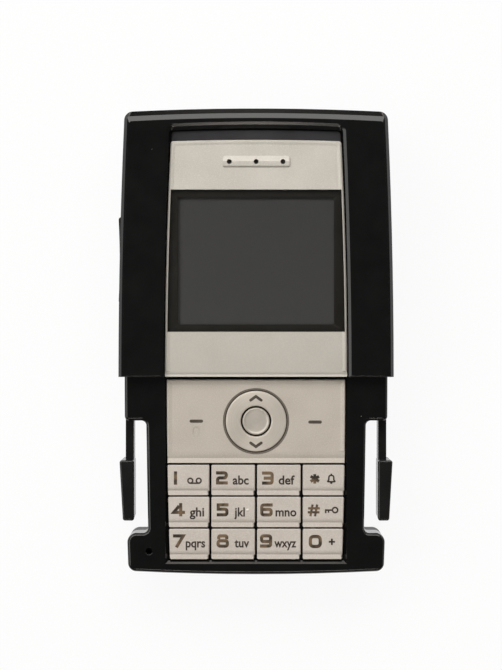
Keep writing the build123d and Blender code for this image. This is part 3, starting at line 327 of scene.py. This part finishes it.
def metal(name, dark, light, rough, scale=METAL_SCALE, stretch=None):
    """Bare metal with a fine stamped or drawn grain."""
    made, bsdf = shader(name)
    colour = blend(made, span(made, noise(made, scale, detail=4, stretch=stretch), 0, 1), dark, light)
    join(made, colour, bsdf.inputs["Base Color"])
    polish = span(made, noise(made, scale * POLISH_SHARE, detail=3, stretch=stretch), *rough)
    join(made, polish, bsdf.inputs["Roughness"])
    bsdf.inputs["Metallic"].default_value = 1.0
    relief(made, bsdf, noise(made, scale, detail=3, stretch=stretch), *METAL_RELIEF)
    return made


def foil(name, dark, light):
    """Foil print that turns from dark to light within each mark, a painted reflection of its metallic sheen.
    """
    made, bsdf = shader(name)
    # Painted reflection: noise turns the colour from dark to light.
    turn = span(made, noise(made, FOIL_SHEEN_SCALE, detail=2), 0, 1, *FOIL_SHEEN_RANGE)
    join(made, blend(made, turn, dark, light), bsdf.inputs["Base Color"])
    join(made, span(made, noise(made, FOIL_GRAIN, detail=2), *FOIL_ROUGH), bsdf.inputs["Roughness"])
    bsdf.inputs["Metallic"].default_value = FOIL_METALLIC
    return made


def clear(name):
    """Clear hard-coated lens: see-through face on, glossy at a slant."""
    made, bsdf = shader(name)
    bsdf.inputs["Base Color"].default_value = LENS_COLOUR
    slant = add_node(made, "ShaderNodeLayerWeight", blend=LENS_BLEND)
    cover = span(made, slant.outputs["Fresnel"], *LENS_COVER, *LENS_SLANT)
    join(made, cover, bsdf.inputs["Alpha"])
    join(made, span(made, noise(made, LENS_SCALE, detail=4), *LENS_ROUGH), bsdf.inputs["Roughness"])
    return made


def display(name, dark, light):
    """Unlit display: a fine dot matrix with a soft brightening towards the foot."""
    made, bsdf = shader(name)
    axes = split(made, coordinate(made))
    shade = blend(made, span(made, axes["Y"], 1, 0, DISPLAY_FOOT, DISPLAY_HEAD), dark, light)
    for axis in ("X", "Y"):
        ruled = sums(made, "PINGPONG", axes[axis], HALF_DOT)
        line = span(made, ruled, DOT_SHARE, 0, start=0, end=DOT_LINE)
        shade = blend(made, line, shade, DOT_COLOUR)
    join(made, shade, bsdf.inputs["Base Color"])
    join(made, span(made, noise(made, GLASS_SCALE, detail=3), *GLASS_ROUGH), bsdf.inputs["Roughness"])
    return made


# Finishes of the black and dark mouldings.
collar_black = moulded(
    "collar_black", dark=(0.0042, 0.0042, 0.0042), light=(0.0064, 0.0064, 0.0062),
    rough=(0.11, 0.18), grain=2600, depth=1.2e-6, dust=0.10)
body_black = moulded(
    "body_black", dark=(0.0034, 0.0034, 0.0034), light=(0.0052, 0.0052, 0.005),
    rough=(0.13, 0.2), grain=2600, depth=1.4e-6, dust=0.16)
arm_black = moulded(
    "arm_black", dark=(0.006, 0.006, 0.006), light=(0.009, 0.009, 0.0087),
    rough=(0.2, 0.3), grain=2200, depth=2e-6, dust=0.10)
back_black = moulded(
    "back_black", dark=(0.010, 0.010, 0.010), light=(0.015, 0.015, 0.0147),
    rough=(0.42, 0.54), grain=3800, depth=9e-6, dust=0.06)
insert_grey = moulded(
    "insert_grey", dark=(0.020, 0.0195, 0.022), light=(0.028, 0.027, 0.031),
    rough=(0.3, 0.42), grain=2200, depth=3e-6)
mask_black = moulded(
    "mask_black", dark=(0.0175, 0.0148, 0.0105), light=(0.0225, 0.0192, 0.014),
    rough=(0.35, 0.5), grain=3000, depth=2e-6)
dark_moulding = moulded(
    "dark_moulding", dark=(0.018, 0.018, 0.018), light=(0.03, 0.03, 0.03),
    rough=(0.45, 0.6), grain=3000, depth=6e-6)
mat_black = moulded(
    "mat_black", dark=(0.006, 0.006, 0.006), light=(0.01, 0.01, 0.0098),
    rough=(0.6, 0.8), grain=1800, depth=8e-6)
# Near-black for the microphone: its felt, made darker as painted shade deep in its hole.
felt_and_shade_black = moulded(
    "felt_and_shade_black", dark=(0.003, 0.003, 0.003), light=(0.006, 0.006, 0.006),
    rough=(0.8, 0.95), grain=5200, depth=2e-5, gloss=0.2)

# Finishes of the other inner mouldings and of the seal.
soft_rubber = moulded(
    "soft_rubber", dark=(0.16, 0.16, 0.16), light=(0.24, 0.24, 0.24),
    rough=(0.6, 0.8), grain=1800, depth=8e-6)
frame_white = moulded(
    "frame_white", dark=(0.68, 0.68, 0.66), light=(0.8, 0.8, 0.78),
    rough=(0.45, 0.6), grain=1800, depth=4e-6)
board_green = moulded(
    "board_green", dark=(0.012, 0.10, 0.035), light=(0.02, 0.15, 0.05),
    rough=(0.3, 0.5), grain=1600, depth=6e-6)
flex_amber = moulded(
    "flex_amber", dark=(0.36, 0.15, 0.03), light=(0.48, 0.22, 0.05),
    rough=(0.3, 0.45), grain=1500, depth=3e-6)
seal_taupe = moulded(
    "seal_taupe", dark=(0.13, 0.110, 0.088), light=(0.165, 0.14, 0.112),
    rough=(0.4, 0.55), grain=2400, depth=3e-6)

# Finishes of the silver pieces.
ring_low, ring_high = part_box("nav_ring")
ring_centre = (ring_low + ring_high) / 2
# The faceplate's silver carries painted shade, darker towards the foot.
silver_face = painted(
    "silver_face", dark=(0.565, 0.533, 0.477), light=(0.62, 0.588, 0.532), painted_shade=(22 * MM, -6 * MM))
silver_panel = painted("silver_panel", dark=(0.515, 0.465, 0.405), light=(0.565, 0.515, 0.452))
# The keys' silver turns dark on its upright walls: bare of paint, and painted shade in the gaps between
# keys.
silver_key = painted(
    "silver_key", dark=(0.57, 0.515, 0.460), light=(0.625, 0.57, 0.515), shaded_flanks=(0.02, 0.018, 0.015))
# Lighter silver for the keys' broken edges and the touch dot: a painted highlight.
silver_edge_highlight = painted("silver_edge_highlight", dark=(0.80, 0.74, 0.67), light=(0.86, 0.80, 0.73))
silver_spun = spun("silver_spun", dark=(0.60, 0.545, 0.475), light=(0.66, 0.605, 0.53), axis=ring_centre)
button_spun = spun("button_spun", dark=(0.51, 0.465, 0.405), light=(0.56, 0.515, 0.45), axis=ring_centre)

# Finishes of bare metal, print and glass.
plain_steel = metal("plain_steel", dark=(0.42, 0.42, 0.42), light=(0.6, 0.6, 0.6), rough=(0.28, 0.42))
weight_brass = metal("weight_brass", dark=(0.55, 0.4, 0.16), light=(0.7, 0.52, 0.22), rough=(0.25, 0.4))
contact_gold = metal("contact_gold", dark=(0.68, 0.46, 0.16), light=(0.8, 0.58, 0.24), rough=(0.2, 0.32))
cell_can = metal(
    "cell_can", dark=(0.22, 0.23, 0.24), light=(0.3, 0.31, 0.32), rough=(0.3, 0.45),
    scale=900, stretch=(1, 20, 1))
bronze_print = foil("bronze_print", dark=(0.046, 0.036, 0.028), light=(0.235, 0.16, 0.095))
dark_print = foil("dark_print", dark=(0.038, 0.030, 0.025), light=(0.066, 0.052, 0.043))
taupe_print = foil("taupe_print", dark=(0.085, 0.070, 0.056), light=(0.115, 0.095, 0.078))
pale_print = foil("pale_print", dark=(0.50, 0.455, 0.395), light=(0.66, 0.61, 0.545))
lens_clear = clear("lens_clear")
display_glass = display("display_glass", dark=(0.118, 0.118, 0.117), light=(0.134, 0.134, 0.133))

# The finish for each material slot of the record, and the pieces that have another.
FINISHES = {
    "collar_black": collar_black, "body_black": body_black, "back_black": back_black,
    "arm_black": arm_black, "insert_grey": insert_grey, "mask_black": mask_black,
    "silver_face": silver_face, "silver_panel": silver_panel, "silver_key": silver_key,
    "lens_clear": lens_clear, "display_glass": display_glass, "frame_white": frame_white,
    "flex_amber": flex_amber, "soft_rubber": soft_rubber, "board_green": board_green,
    "plain_steel": plain_steel, "weight_brass": weight_brass, "cell_can": cell_can,
    "dark_moulding": dark_moulding,
}
SPECIAL = {
    "nav_ring": silver_spun, "select_button": button_spun,
    # The microphone is near-black: its felt, and painted shade deep in its hole.
    "microphone": felt_and_shade_black, "keypad_mat": mat_black,
}

# Every CAD piece keeps its place and gets a finish. Its edges are slightly broken, and its flats stay flat.
# The broken edges have a width and the least angle, in degrees, between the faces that meet there.
EDGE = (0.05 * MM, 28)
KEY_EDGE = 0.07 * MM
SOFT_EDGES = {"upper_front_shell": (0.14 * MM, 9), "lower_front_shell": (0.10 * MM, 20)}
EDGE_STEPS = 2
SOFT_EDGE_STEPS = 3
CRISP = {"faceplate", "softkey_panel"}
CRISP_ANGLE = 8
SEAM = 1e-6
for entry in frame["record"]["subparts"]:
    node, slot = entry["node"], entry["material_slot"]
    piece = nodes[node]
    piece.data.materials.clear()
    piece.data.materials.append(SPECIAL.get(node, FINISHES[slot]))
    piece.modifiers.new("weld", "WELD").merge_threshold = SEAM
    width, limit = SOFT_EDGES.get(node, EDGE)
    bevel = piece.modifiers.new("edges", "BEVEL")
    # The keys' broken edges take the lighter silver as a painted highlight.
    if slot == "silver_key":
        piece.data.materials.append(silver_edge_highlight)
        bevel.material = 1
        width = KEY_EDGE
    bevel.width = width
    bevel.segments = SOFT_EDGE_STEPS if node in SOFT_EDGES else EDGE_STEPS
    bevel.limit_method = "ANGLE"
    bevel.angle_limit = math.radians(limit)
    piece.data.shade_smooth()
    if node in CRISP:
        piece.modifiers.new("creases", "EDGE_SPLIT").split_angle = math.radians(CRISP_ANGLE)
    piece.modifiers.new("normals", "WEIGHTED_NORMAL")
bpy.context.view_layer.update()


# Helpers for new pieces.
POINT = 1e-8


def piece_from(name, mesh, body, slot, *finish):
    """Turns a finished mesh into a piece that rides on a body."""
    data = bpy.data.meshes.new(name)
    mesh.to_mesh(data)
    mesh.free()
    for one in finish:
        data.materials.append(one)
    piece = bpy.data.objects.new(name, data)
    bpy.context.scene.collection.objects.link(piece)
    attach(piece, body)
    return piece


def circle(centre, radius, steps=28):
    """Points round a circle."""
    turns = [2 * math.pi * step / steps for step in range(steps)]
    return [centre + Vector((math.cos(turn), math.sin(turn))) * radius for turn in turns]


def lofted(sections, ends=True):
    """Mesh through sections of as many points each, with or without faces at its two ends."""
    mesh = bmesh.new()
    rows = [[mesh.verts.new(point) for point in section] for section in sections]
    count = len(rows[0])
    for one, two in zip(rows, rows[1:]):
        for index in range(count):
            after = (index + 1) % count
            mesh.faces.new((one[index], one[after], two[after], two[index]))
    if ends:
        mesh.faces.new(rows[0])
        mesh.faces.new(rows[-1])
    bmesh.ops.remove_doubles(mesh, verts=mesh.verts, dist=POINT)
    bmesh.ops.recalc_face_normals(mesh, faces=mesh.faces)
    return mesh


def turned(centre, level, profile, steps):
    """Rings of a solid of revolution about an upright axis. Its profile is a list of radius and height."""
    return [[(point.x, point.y, level + height) for point in circle(centre.xy, radius, steps)]
            for radius, height in profile]


# Printed marks: flat ribbons that follow the surface under them.
INK_DEPTH = 0.008 * MM
LAYER = 0.002 * MM
CORNER_SHARE = 0.49
CORNER_STEPS = 6
DISC_STEPS = 14
SHARPEST = 0.4
NO_LENGTH = 1e-12


def rounded(points, closed=False):
    """Polyline from points with a corner radius each, whose corners are turned into short arcs."""
    count = len(points)
    found = []
    for index, (point, radius) in enumerate(points):
        if radius == 0 or (not closed and index in (0, count - 1)):
            found.append(point)
            continue
        back = points[index - 1][0] - point
        ahead = points[(index + 1) % count][0] - point
        room = min(back.length, ahead.length) * CORNER_SHARE
        reach = min(radius / math.tan(back.angle(ahead) / 2), room)
        start, end = point + back.normalized() * reach, point + ahead.normalized() * reach
        for step in range(CORNER_STEPS + 1):
            t = step / CORNER_STEPS
            found.append(start * (1 - t) ** 2 + point * 2 * t * (1 - t) + end * t ** 2)
    return found


def ribbon(mesh, points, width, level, slot=0, closed=False, caps=False):
    """Adds a ribbon of the given width along a line to a mesh, at the level that the function gives."""
    count = len(points)
    rows = []
    for index, point in enumerate(points):
        before = points[index - 1] if index or closed else point
        after = points[(index + 1) % count] if index < count - 1 or closed else point
        first, second = point - before, after - point
        first = first.normalized() if first.length > NO_LENGTH else second.normalized()
        second = second.normalized() if second.length > NO_LENGTH else first
        along = (first + second).normalized()
        across = Vector((-along.y, along.x)) * width / 2 / max(SHARPEST, along.dot(first))
        places = (point + across, point, point - across)
        rows.append([mesh.verts.new((*place, level(place))) for place in places])
    if closed:
        rows.append(rows[0])
    for one, two in zip(rows, rows[1:]):
        for column in (0, 1):
            corners = (one[column], one[column + 1], two[column + 1], two[column])
            mesh.faces.new(corners).material_index = slot
    if caps:
        for end, out in ((points[0], points[0] - points[1]), (points[-1], points[-1] - points[-2])):
            disc(mesh, end, width / 2, level, slot, out)


def disc(mesh, centre, radius, level, slot=0, out=None):
    """Adds a filled disc, or the half of it on the side that out points to."""
    start = math.atan2(out.y, out.x) - math.pi / 2 if out else 0
    turn = math.pi if out else 2 * math.pi
    rim = []
    for step in range(DISC_STEPS + (1 if out else 0)):
        angle = start + turn * step / DISC_STEPS
        point = centre + Vector((math.cos(angle), math.sin(angle))) * radius
        rim.append(mesh.verts.new((*point, level(point))))
    mesh.faces.new(rim).material_index = slot


def stamped(name, mesh, body, slot, *finish):
    """Turns a finished print into a thin solid piece."""
    bmesh.ops.remove_doubles(mesh, verts=mesh.verts, dist=POINT)
    for face in mesh.faces:
        face.normal_update()
        if face.normal.z < 0:
            face.normal_flip()
    piece = piece_from(name, mesh, body, slot, *finish)
    ink = piece.modifiers.new("ink", "SOLIDIFY")
    ink.thickness = INK_DEPTH
    ink.offset = 1


# Strokes of the digits on a unit square. A third number rounds that corner. Ends run on by half a stroke,
# and an end marked False stops against the stroke that it meets. A closed stroke is marked None.
STROKES = {
    "1": [([(0.5, 0), (0.5, 1)], True, True)],
    "2": [([(0, 1), (1, 1, 1), (1, 0.5, 1), (0, 0.5, 1), (0, 0), (1, 0)], True, True)],
    "3": [([(0, 1), (1, 1, 1), (1, 0, 1), (0, 0)], True, True), ([(0.2, 0.5), (1, 0.5)], True, False)],
    "4": [([(0.66, 1), (0, 0.24), (1, 0.24)], False, True), ([(0.72, 1), (0.72, 0)], True, True)],
    "5": [([(1, 1), (0, 1), (0, 0.57), (1, 0.57, 1), (1, 0, 1), (0, 0)], True, True)],
    "6": [([(1, 1), (0, 1, 1), (0, 0, 1), (1, 0, 1), (1, 0.56, 1), (0, 0.56)], True, False)],
    "7": [([(0, 1), (1, 1), (0.3, 0)], True, True)],
    "8": [([(0, 0, 1), (0, 0.52, 1), (1, 0.52, 1), (1, 0, 1)], None, None),
          ([(0.07, 0.52), (0.07, 1, 1), (0.93, 1, 1), (0.93, 0.52)], False, False)],
    "9": [([(0, 0), (1, 0, 1), (1, 1, 1), (0, 1, 1), (0, 0.44, 1), (1, 0.44)], True, False)],
    "0": [([(0, 0, 1.6), (0, 1, 1.6), (1, 1, 1.6), (1, 0, 1.6)], None, None)],
    "star": [([(0.5, 0), (0.5, 1)], True, True), ([(0.04, 0.22), (0.96, 0.78)], True, True),
             ([(0.04, 0.78), (0.96, 0.22)], True, True)],
    "hash": [([(0.18, 0), (0.36, 1)], True, True), ([(0.64, 0), (0.82, 1)], True, True),
             ([(0, 0.3), (0.96, 0.3)], True, True), ([(0.04, 0.72), (1, 0.72)], True, True)],
}

# Pixel boxes of the digits (left, top, right, bottom) with their stroke, and the letters beside them with
# their left and right ends and baseline.
DIGITS = {
    "1": (173.9, 471.4, 177.1, 484.7, 3.2), "2": (216.0, 471.3, 227.8, 484.5, 3.2),
    "3": (262.0, 471.5, 273.7, 484.7, 3.2), "star": (310.1, 474.1, 319.5, 483.6, 2.9),
    "4": (172.2, 503.1, 185.0, 516.3, 3.2), "5": (216.7, 503.3, 228.5, 516.4, 3.2),
    "6": (260.2, 503.4, 272.7, 516.5, 3.2), "hash": (307.7, 504.5, 319.9, 516.3, 2.3),
    "7": (173.0, 534.3, 184.8, 547.6, 3.2), "8": (216.5, 534.3, 229.0, 547.7, 3.2),
    "9": (260.0, 534.3, 272.2, 547.6, 3.2), "0": (308.7, 534.9, 321.9, 548.1, 3.3),
}
LETTERS = {
    "2": ("abc", 232.7, 248.7, 484.3), "3": ("def", 278.6, 294.7, 484.3),
    "4": ("ghi", 189.6, 204.2, 516.2), "5": ("jkl", 234.2, 244.9, 516.2), "6": ("mno", 275.5, 296.4, 516.2),
    "7": ("pqrs", 185.7, 205.2, 547.2), "8": ("tuv", 234.5, 249.2, 547.2),
    "9": ("wxyz", 274.3, 296.2, 547.2),
}
KEY_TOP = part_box("key_5")[1].z
DIGIT_TURN = 2.3 * PIXEL
LETTER_SIZE = 2.28 * MM
LETTER_WEIGHT = 0.024
LETTER_STEPS = 3

# Pixel places of the signs beside the digits: circles with a radius, lines with a layer, and the bell's
# corners with a radius each. The signs are voicemail reels, a bell, a key and a plus.
SIGN_PEN = 1.6
PLUS_PEN = 1.84
SIGN_CIRCLES = {"1": [(190.3, 480.7, 2.4), (198.7, 480.7, 2.4)], "hash": [(335.1, 510.1, 2.6)]}
SIGN_LINES = {
    "1": [((190.3, 483.2), (198.7, 483.2), 1)],
    "star": [((331.3, 473.6), (331.3, 475.3), 1)],
    "hash": [((332.6, 510.1), (325.0, 510.1), 1), ((325.7, 510.1), (325.7, 513.2), 2),
             ((328.5, 510.1), (328.5, 512.7), 2)],
    "0": [((328.7, 541.8), (335.0, 541.8), 0), ((331.85, 538.6), (331.85, 545.0), 1)],
}
BELL = [
    (327.3, 481.7, 0.6), (328.8, 480.0, 1.2), (328.9, 475.4, 2.4),
    (333.7, 475.4, 2.4), (333.8, 480.0, 1.2), (335.3, 481.7, 0.6),
]
CLAPPER = (331.3, 482.8, 1.2)


def ink_level(node, layer=0):
    """Function that gives the level of a print on a piece. Strokes that cross lie in layers."""
    def level(point):
        found, place = nodes[node].ray_cast((point.x, point.y, FRONT), (0, 0, -1))[:2]
        return (place.z if found else KEY_TOP) + LAYER * (1 + layer)
    return level


def on_key(x, y):
    """Place at the level of the keys that the photograph shows at this pixel."""
    return Vector(spot(x, y, KEY_TOP))


def drawn_digit(mesh, name, node):
    """Adds a digit to a mesh."""
    left, top, right, bottom, stroke = DIGITS[name]
    pen = stroke * PIXEL
    half = Vector((pen, pen)) / 2
    low, high = on_key(left, bottom) + half, on_key(right, top) - half
    size = high - low
    for layer, (corners, start_free, end_free) in enumerate(STROKES[name]):
        closed = start_free is None
        points = [[low + size * Vector((u, v)), sum(turn) * DIGIT_TURN] for u, v, *turn in corners]
        if not closed:
            starts = (points[0][0] - points[1][0]).normalized() * pen / 2
            ends = (points[-1][0] - points[-2][0]).normalized() * pen / 2
            points[0][0] = points[0][0] + (starts if start_free else -starts)
            points[-1][0] = points[-1][0] + (ends if end_free else -ends)
        ribbon(mesh, rounded(points, closed), pen, ink_level(node, layer), closed=closed)


def lettering(mesh, node, words, left, right, baseline):
    """Adds small letters in the built-in typeface to a mesh, fitted between two pixels."""
    curve = bpy.data.curves.new("letters", "FONT")
    curve.body = words
    curve.resolution_u = LETTER_STEPS
    curve.offset = LETTER_WEIGHT
    holder = bpy.data.objects.new("letters", curve)
    bpy.context.scene.collection.objects.link(holder)
    shape = bpy.data.meshes.new_from_object(holder.evaluated_get(bpy.context.evaluated_depsgraph_get()))
    bpy.data.objects.remove(holder)
    bpy.data.curves.remove(curve)
    places = [vertex.co for vertex in shape.vertices]
    low, high = min(place.x for place in places), max(place.x for place in places)
    start, end = on_key(left, baseline), on_key(right, baseline)
    across = (end.x - start.x) / (high - low)
    level = ink_level(node)
    made = []
    for place in places:
        point = start + Vector(((place.x - low) * across, place.y * LETTER_SIZE))
        made.append(mesh.verts.new((*point, level(point))))
    for polygon in shape.polygons:
        mesh.faces.new([made[index] for index in polygon.vertices]).material_index = 1
    bpy.data.meshes.remove(shape)


def signs(mesh, name, node):
    """Adds the sign beside a digit, where there is one."""
    pen = (PLUS_PEN if name == "0" else SIGN_PEN) * PIXEL
    for x, y, radius in SIGN_CIRCLES.get(name, ()):
        ribbon(mesh, circle(on_key(x, y), radius * PIXEL), pen, ink_level(node), slot=1, closed=True)
    if name == "star":
        points = [[on_key(x, y), radius * PIXEL] for x, y, radius in BELL]
        ribbon(mesh, rounded(points, closed=True), pen, ink_level(node), slot=1, closed=True)
        x, y, radius = CLAPPER
        disc(mesh, on_key(x, y), radius * PIXEL, ink_level(node, 1), slot=1)
    for start, end, layer in SIGN_LINES.get(name, ()):
        ribbon(mesh, [on_key(*start), on_key(*end)], pen, ink_level(node, layer), slot=1)


for name in DIGITS:
    node = f"key_{name}"
    mesh = bmesh.new()
    drawn_digit(mesh, name, node)
    if name in LETTERS:
        lettering(mesh, node, *LETTERS[name])
    signs(mesh, name, node)
    stamped(f"print_{node}", mesh, node, "silver_key", bronze_print, dark_print)

# Raised dot of the middle key, for finding it by touch. Its place is a pixel.
TOUCH_DOT = (247.8, 510.0)
DOT_PROFILE = [
    (0.27 * MM, -0.02 * MM), (0.26 * MM, 0.04 * MM), (0.2 * MM, 0.1 * MM), (0.09 * MM, 0.135 * MM),
]
DOT_STEPS = 20
mesh = lofted(turned(on_key(*TOUCH_DOT), KEY_TOP, DOT_PROFILE, DOT_STEPS))
# The dot takes the lighter silver as a painted highlight.
piece_from("touch_dot", mesh, "key_5", "silver_key", silver_edge_highlight).data.shade_smooth()

# Slope in the set-in right end of each key's ledge, which falls away to the right.
LEDGE = 0.85 * MM
SET_IN = 0.30 * MM
END_GAP = 0.12 * MM
SLOPE_HEAD = 0.40 * MM
SLOPE_FALL = 0.80 * MM
SLOPE_FOOT = 1.20 * MM
for name in DIGITS:
    low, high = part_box(f"key_{name}")
    inner, outer = high.x - SET_IN, high.x - END_GAP
    foot = KEY_TOP - SLOPE_FOOT
    section = ((inner, KEY_TOP - SLOPE_HEAD), (outer, KEY_TOP - SLOPE_FALL), (outer, foot), (inner, foot))
    mesh = lofted([[(x, y, z) for x, z in section] for y in (low.y + KEY_EDGE, low.y + LEDGE)])
    piece_from(f"ledge_end_{name}", mesh, f"key_{name}", "silver_key", silver_key)

# Marks on the soft-key panel: two dashes and a faint oval, in pixels.
DASHES = ((196.3, 421.2), (315.1, 422.1))
DASH_REACH = 5.2
DASH_PEN = 3.2
OVAL = (196.3, 431.0)
OVAL_RADII = (3.4, 4.1)
OVAL_PEN = 1.3
panel_level = ink_level("softkey_panel")
mesh = bmesh.new()
for x, y in DASHES:
    dash = [on_key(x - DASH_REACH, y), on_key(x + DASH_REACH, y)]
    ribbon(mesh, dash, DASH_PEN * PIXEL, panel_level, caps=True)
oval = [on_key(OVAL[0] + turn.x * OVAL_RADII[0], OVAL[1] + turn.y * OVAL_RADII[1])
        for turn in circle(Vector((0, 0)), 1)]
ribbon(mesh, oval, OVAL_PEN * PIXEL, panel_level, slot=1, closed=True)
stamped("print_panel", mesh, "softkey_panel", "silver_panel", taupe_print, pale_print)

# Taupe seal in the groove round the ring. It rests on the panel's ledge and leaves the ring room to rock.
SEAL_INNER = 5.69 * MM
SEAL_OUTER = 6.045 * MM
SEAL_FOOT = -0.45 * MM
SEAL_HEAD = -0.17 * MM
SEAL_ROUND = 0.04 * MM
SEAL_BREAK = (0.015 * MM, 0.02 * MM)
SEAL_STEPS = 96
seal_profile = [
    (SEAL_INNER, SEAL_FOOT),
    (SEAL_INNER, SEAL_HEAD - SEAL_ROUND),
    (SEAL_INNER + SEAL_ROUND, SEAL_HEAD),
    (SEAL_OUTER - SEAL_BREAK[0], SEAL_HEAD),
    (SEAL_OUTER, SEAL_HEAD - SEAL_BREAK[1]),
    (SEAL_OUTER, SEAL_FOOT),
    (SEAL_INNER, SEAL_FOOT),
]
mesh = lofted(turned(ring_centre, KEY_TOP, seal_profile, SEAL_STEPS), ends=False)
piece_from("ring_seal", mesh, "softkey_panel", "silver_panel", seal_taupe)

# Chevrons on the ring, in pixels: where their tips and ends are up and down, and their three places across.
CHEVRONS = ((396.4, 400.2), (446.7, 442.9))
CHEVRON_PLACES = (250.6, 255.9, 261.2)
CHEVRON_PEN = 2.8
CHEVRON_STEPS = 6
mesh = bmesh.new()
for tip, ends in CHEVRONS:
    start, middle, end = (on_key(x, y) for x, y in zip(CHEVRON_PLACES, (ends, tip, ends)))
    path = [start.lerp(middle, step / CHEVRON_STEPS) for step in range(CHEVRON_STEPS)]
    path += [middle.lerp(end, step / CHEVRON_STEPS) for step in range(CHEVRON_STEPS + 1)]
    ribbon(mesh, path, CHEVRON_PEN * PIXEL, ink_level("nav_ring", 1), caps=True)
stamped("print_ring", mesh, "nav_ring", "silver_panel", taupe_print)

# Gold contact springs in the slots of the foot connector: a strip in each, bent along a line of depths and
# heights.
CONTACT_LINE = [
    (0.75 * MM, 0.85 * MM), (0.62 * MM, 0.9 * MM), (0.34 * MM, 1.25 * MM), (0.28 * MM, 1.6 * MM),
    (0.34 * MM, 1.95 * MM), (0.62 * MM, 2.3 * MM), (0.75 * MM, 2.35 * MM),
]
CONTACTS = 10
CONTACT_PITCH = 1.4 * MM
CONTACT_WIDTH = 0.44 * MM
CONTACT_SHEET = 0.06 * MM
low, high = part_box("system_connector")
mesh = bmesh.new()
for index in range(CONTACTS):
    middle = (index - (CONTACTS - 1) / 2) * CONTACT_PITCH
    sides = (middle - CONTACT_WIDTH / 2, middle + CONTACT_WIDTH / 2)
    rows = [[mesh.verts.new((x, low.y + y, low.z + z)) for x in sides] for y, z in CONTACT_LINE]
    for one, two in zip(rows, rows[1:]):
        mesh.faces.new((one[0], one[1], two[1], two[0]))
contacts = piece_from("contacts", mesh, "housing", "weight_brass", contact_gold)
contacts.data.shade_smooth()
sheet = contacts.modifiers.new("sheet", "SOLIDIFY")
sheet.thickness = CONTACT_SHEET
sheet.offset = -1

# Bowed leaf springs behind the arms, in place of the CAD springs, which are hidden.
LEAF = 0.2 * MM
LEAF_STEPS = 16
for side in ("right", "left"):
    low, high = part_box(f"arm_spring_{side}")
    wall, crest, thick = (low.x, high.x, LEAF) if side == "right" else (high.x, low.x, -LEAF)
    sections = []
    for step in range(LEAF_STEPS + 1):
        share = step / LEAF_STEPS
        inner = wall + (crest - thick - wall) * (1 - (2 * share - 1) ** 2)
        outer = inner + thick
        y = low.y + (high.y - low.y) * share
        sections.append([(inner, y, low.z), (outer, y, low.z), (outer, y, high.z), (inner, y, high.z)])
    leaf = piece_from(f"leaf_spring_{side}", lofted(sections), "housing", "plain_steel", plain_steel)
    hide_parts(f"arm_spring_{side}")
    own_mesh(leaf)

# Pale floor that stays white to the camera and in reflections, and keeps a soft shadow.
FLOOR_SIZE = 20
FLOOR_GAP = 0.02 * MM
FLOOR_COLOUR = (0.9, 0.9, 0.9, 1)
FLOOR_ROUGH = 0.9
WHITE_SHARE = 0.92
bpy.ops.mesh.primitive_plane_add(size=FLOOR_SIZE, location=(0, 0, cad_box[0][2] - FLOOR_GAP))
floor = bpy.context.object
floor.name = "floor"
made, bsdf = shader("floor")
bsdf.inputs["Base Color"].default_value = FLOOR_COLOUR
bsdf.inputs["Roughness"].default_value = FLOOR_ROUGH
rays = add_node(made, "ShaderNodeLightPath").outputs
seen = sums(made, "MAXIMUM", rays["Is Camera Ray"], rays["Is Glossy Ray"])
seen = sums(made, "MAXIMUM", seen, rays["Is Transmission Ray"])
white = add_node(made, "ShaderNodeEmission", strength=1.0)
mix = add_node(made, "ShaderNodeMixShader")
join(made, sums(made, "MULTIPLY", seen, WHITE_SHARE), mix.inputs[0])
join(made, bsdf.outputs[0], mix.inputs[1])
join(made, white.outputs[0], mix.inputs[2])
join(made, mix.outputs[0], made.node_tree.nodes["Material Output"].inputs["Surface"])
floor.data.materials.append(made)

# World: dim, with a warm white glow low on the far side, beyond the head of the phone.
DIM = (0.02, 0.02, 0.02)
WARM = (1, 0.93, 0.85)
WORLD_STRENGTH = 3.3
GLOW_HEIGHT = (0.10, 0.18)
GLOW_DEPTH = (0.2, 0.7)
world = bpy.data.worlds.new("studio")
bpy.context.scene.world = world
world.use_nodes = True
back = world.node_tree.nodes["Background"]
axes = split(world, coordinate(world, "Generated"))
low_down = span(world, axes["Z"], 1, 0, *GLOW_HEIGHT)
far_off = span(world, axes["Y"], 0, 1, *GLOW_DEPTH)
glow = sums(world, "MULTIPLY", low_down, far_off)
join(world, blend(world, glow, DIM, WARM), back.inputs["Color"])
back.inputs["Strength"].default_value = WORLD_STRENGTH

# Soft lamps. Each has the side that it stands on, its tilt from overhead in degrees, its size in metres, its
# brightness and its colour.
DAYLIGHT = (1, 0.985, 0.96)
LAMP_DISTANCE = 0.8
LAMPS = {
    "key_lamp": ((-0.1, 1), 41, (1.1, 0.44), 3.8, DAYLIGHT),
    "left_lamp": ((-1, 0.1), 46, (0.8, 0.30), 2.9, DAYLIGHT),
    "left_fill_lamp": ((-1, 0.05), 30, (0.4, 0.12), 2.2, DAYLIGHT),
    "right_lamp": ((1, 0.1), 60, (0.8, 0.30), 0.7, DAYLIGHT),
    "head_lip_lamp": ((0, -1), 30, (0.24, 0.06), 12.5, WARM),
}
for name, (side, tilt, size, brightness, colour) in LAMPS.items():
    data = bpy.data.lights.new(name, "AREA")
    data.shape = "RECTANGLE"
    data.size, data.size_y = size
    data.energy = brightness * math.pi * size[0] * size[1]
    data.color = colour
    lamp = bpy.data.objects.new(name, data)
    aside = math.sin(math.radians(tilt)) * LAMP_DISTANCE
    lamp.location = (side[0] * aside, side[1] * aside, math.cos(math.radians(tilt)) * LAMP_DISTANCE)
    lamp.rotation_euler = (-lamp.location).to_track_quat("-Z", "Y").to_euler()
    bpy.context.scene.collection.objects.link(lamp)

bpy.context.scene.view_settings.view_transform = "Standard"
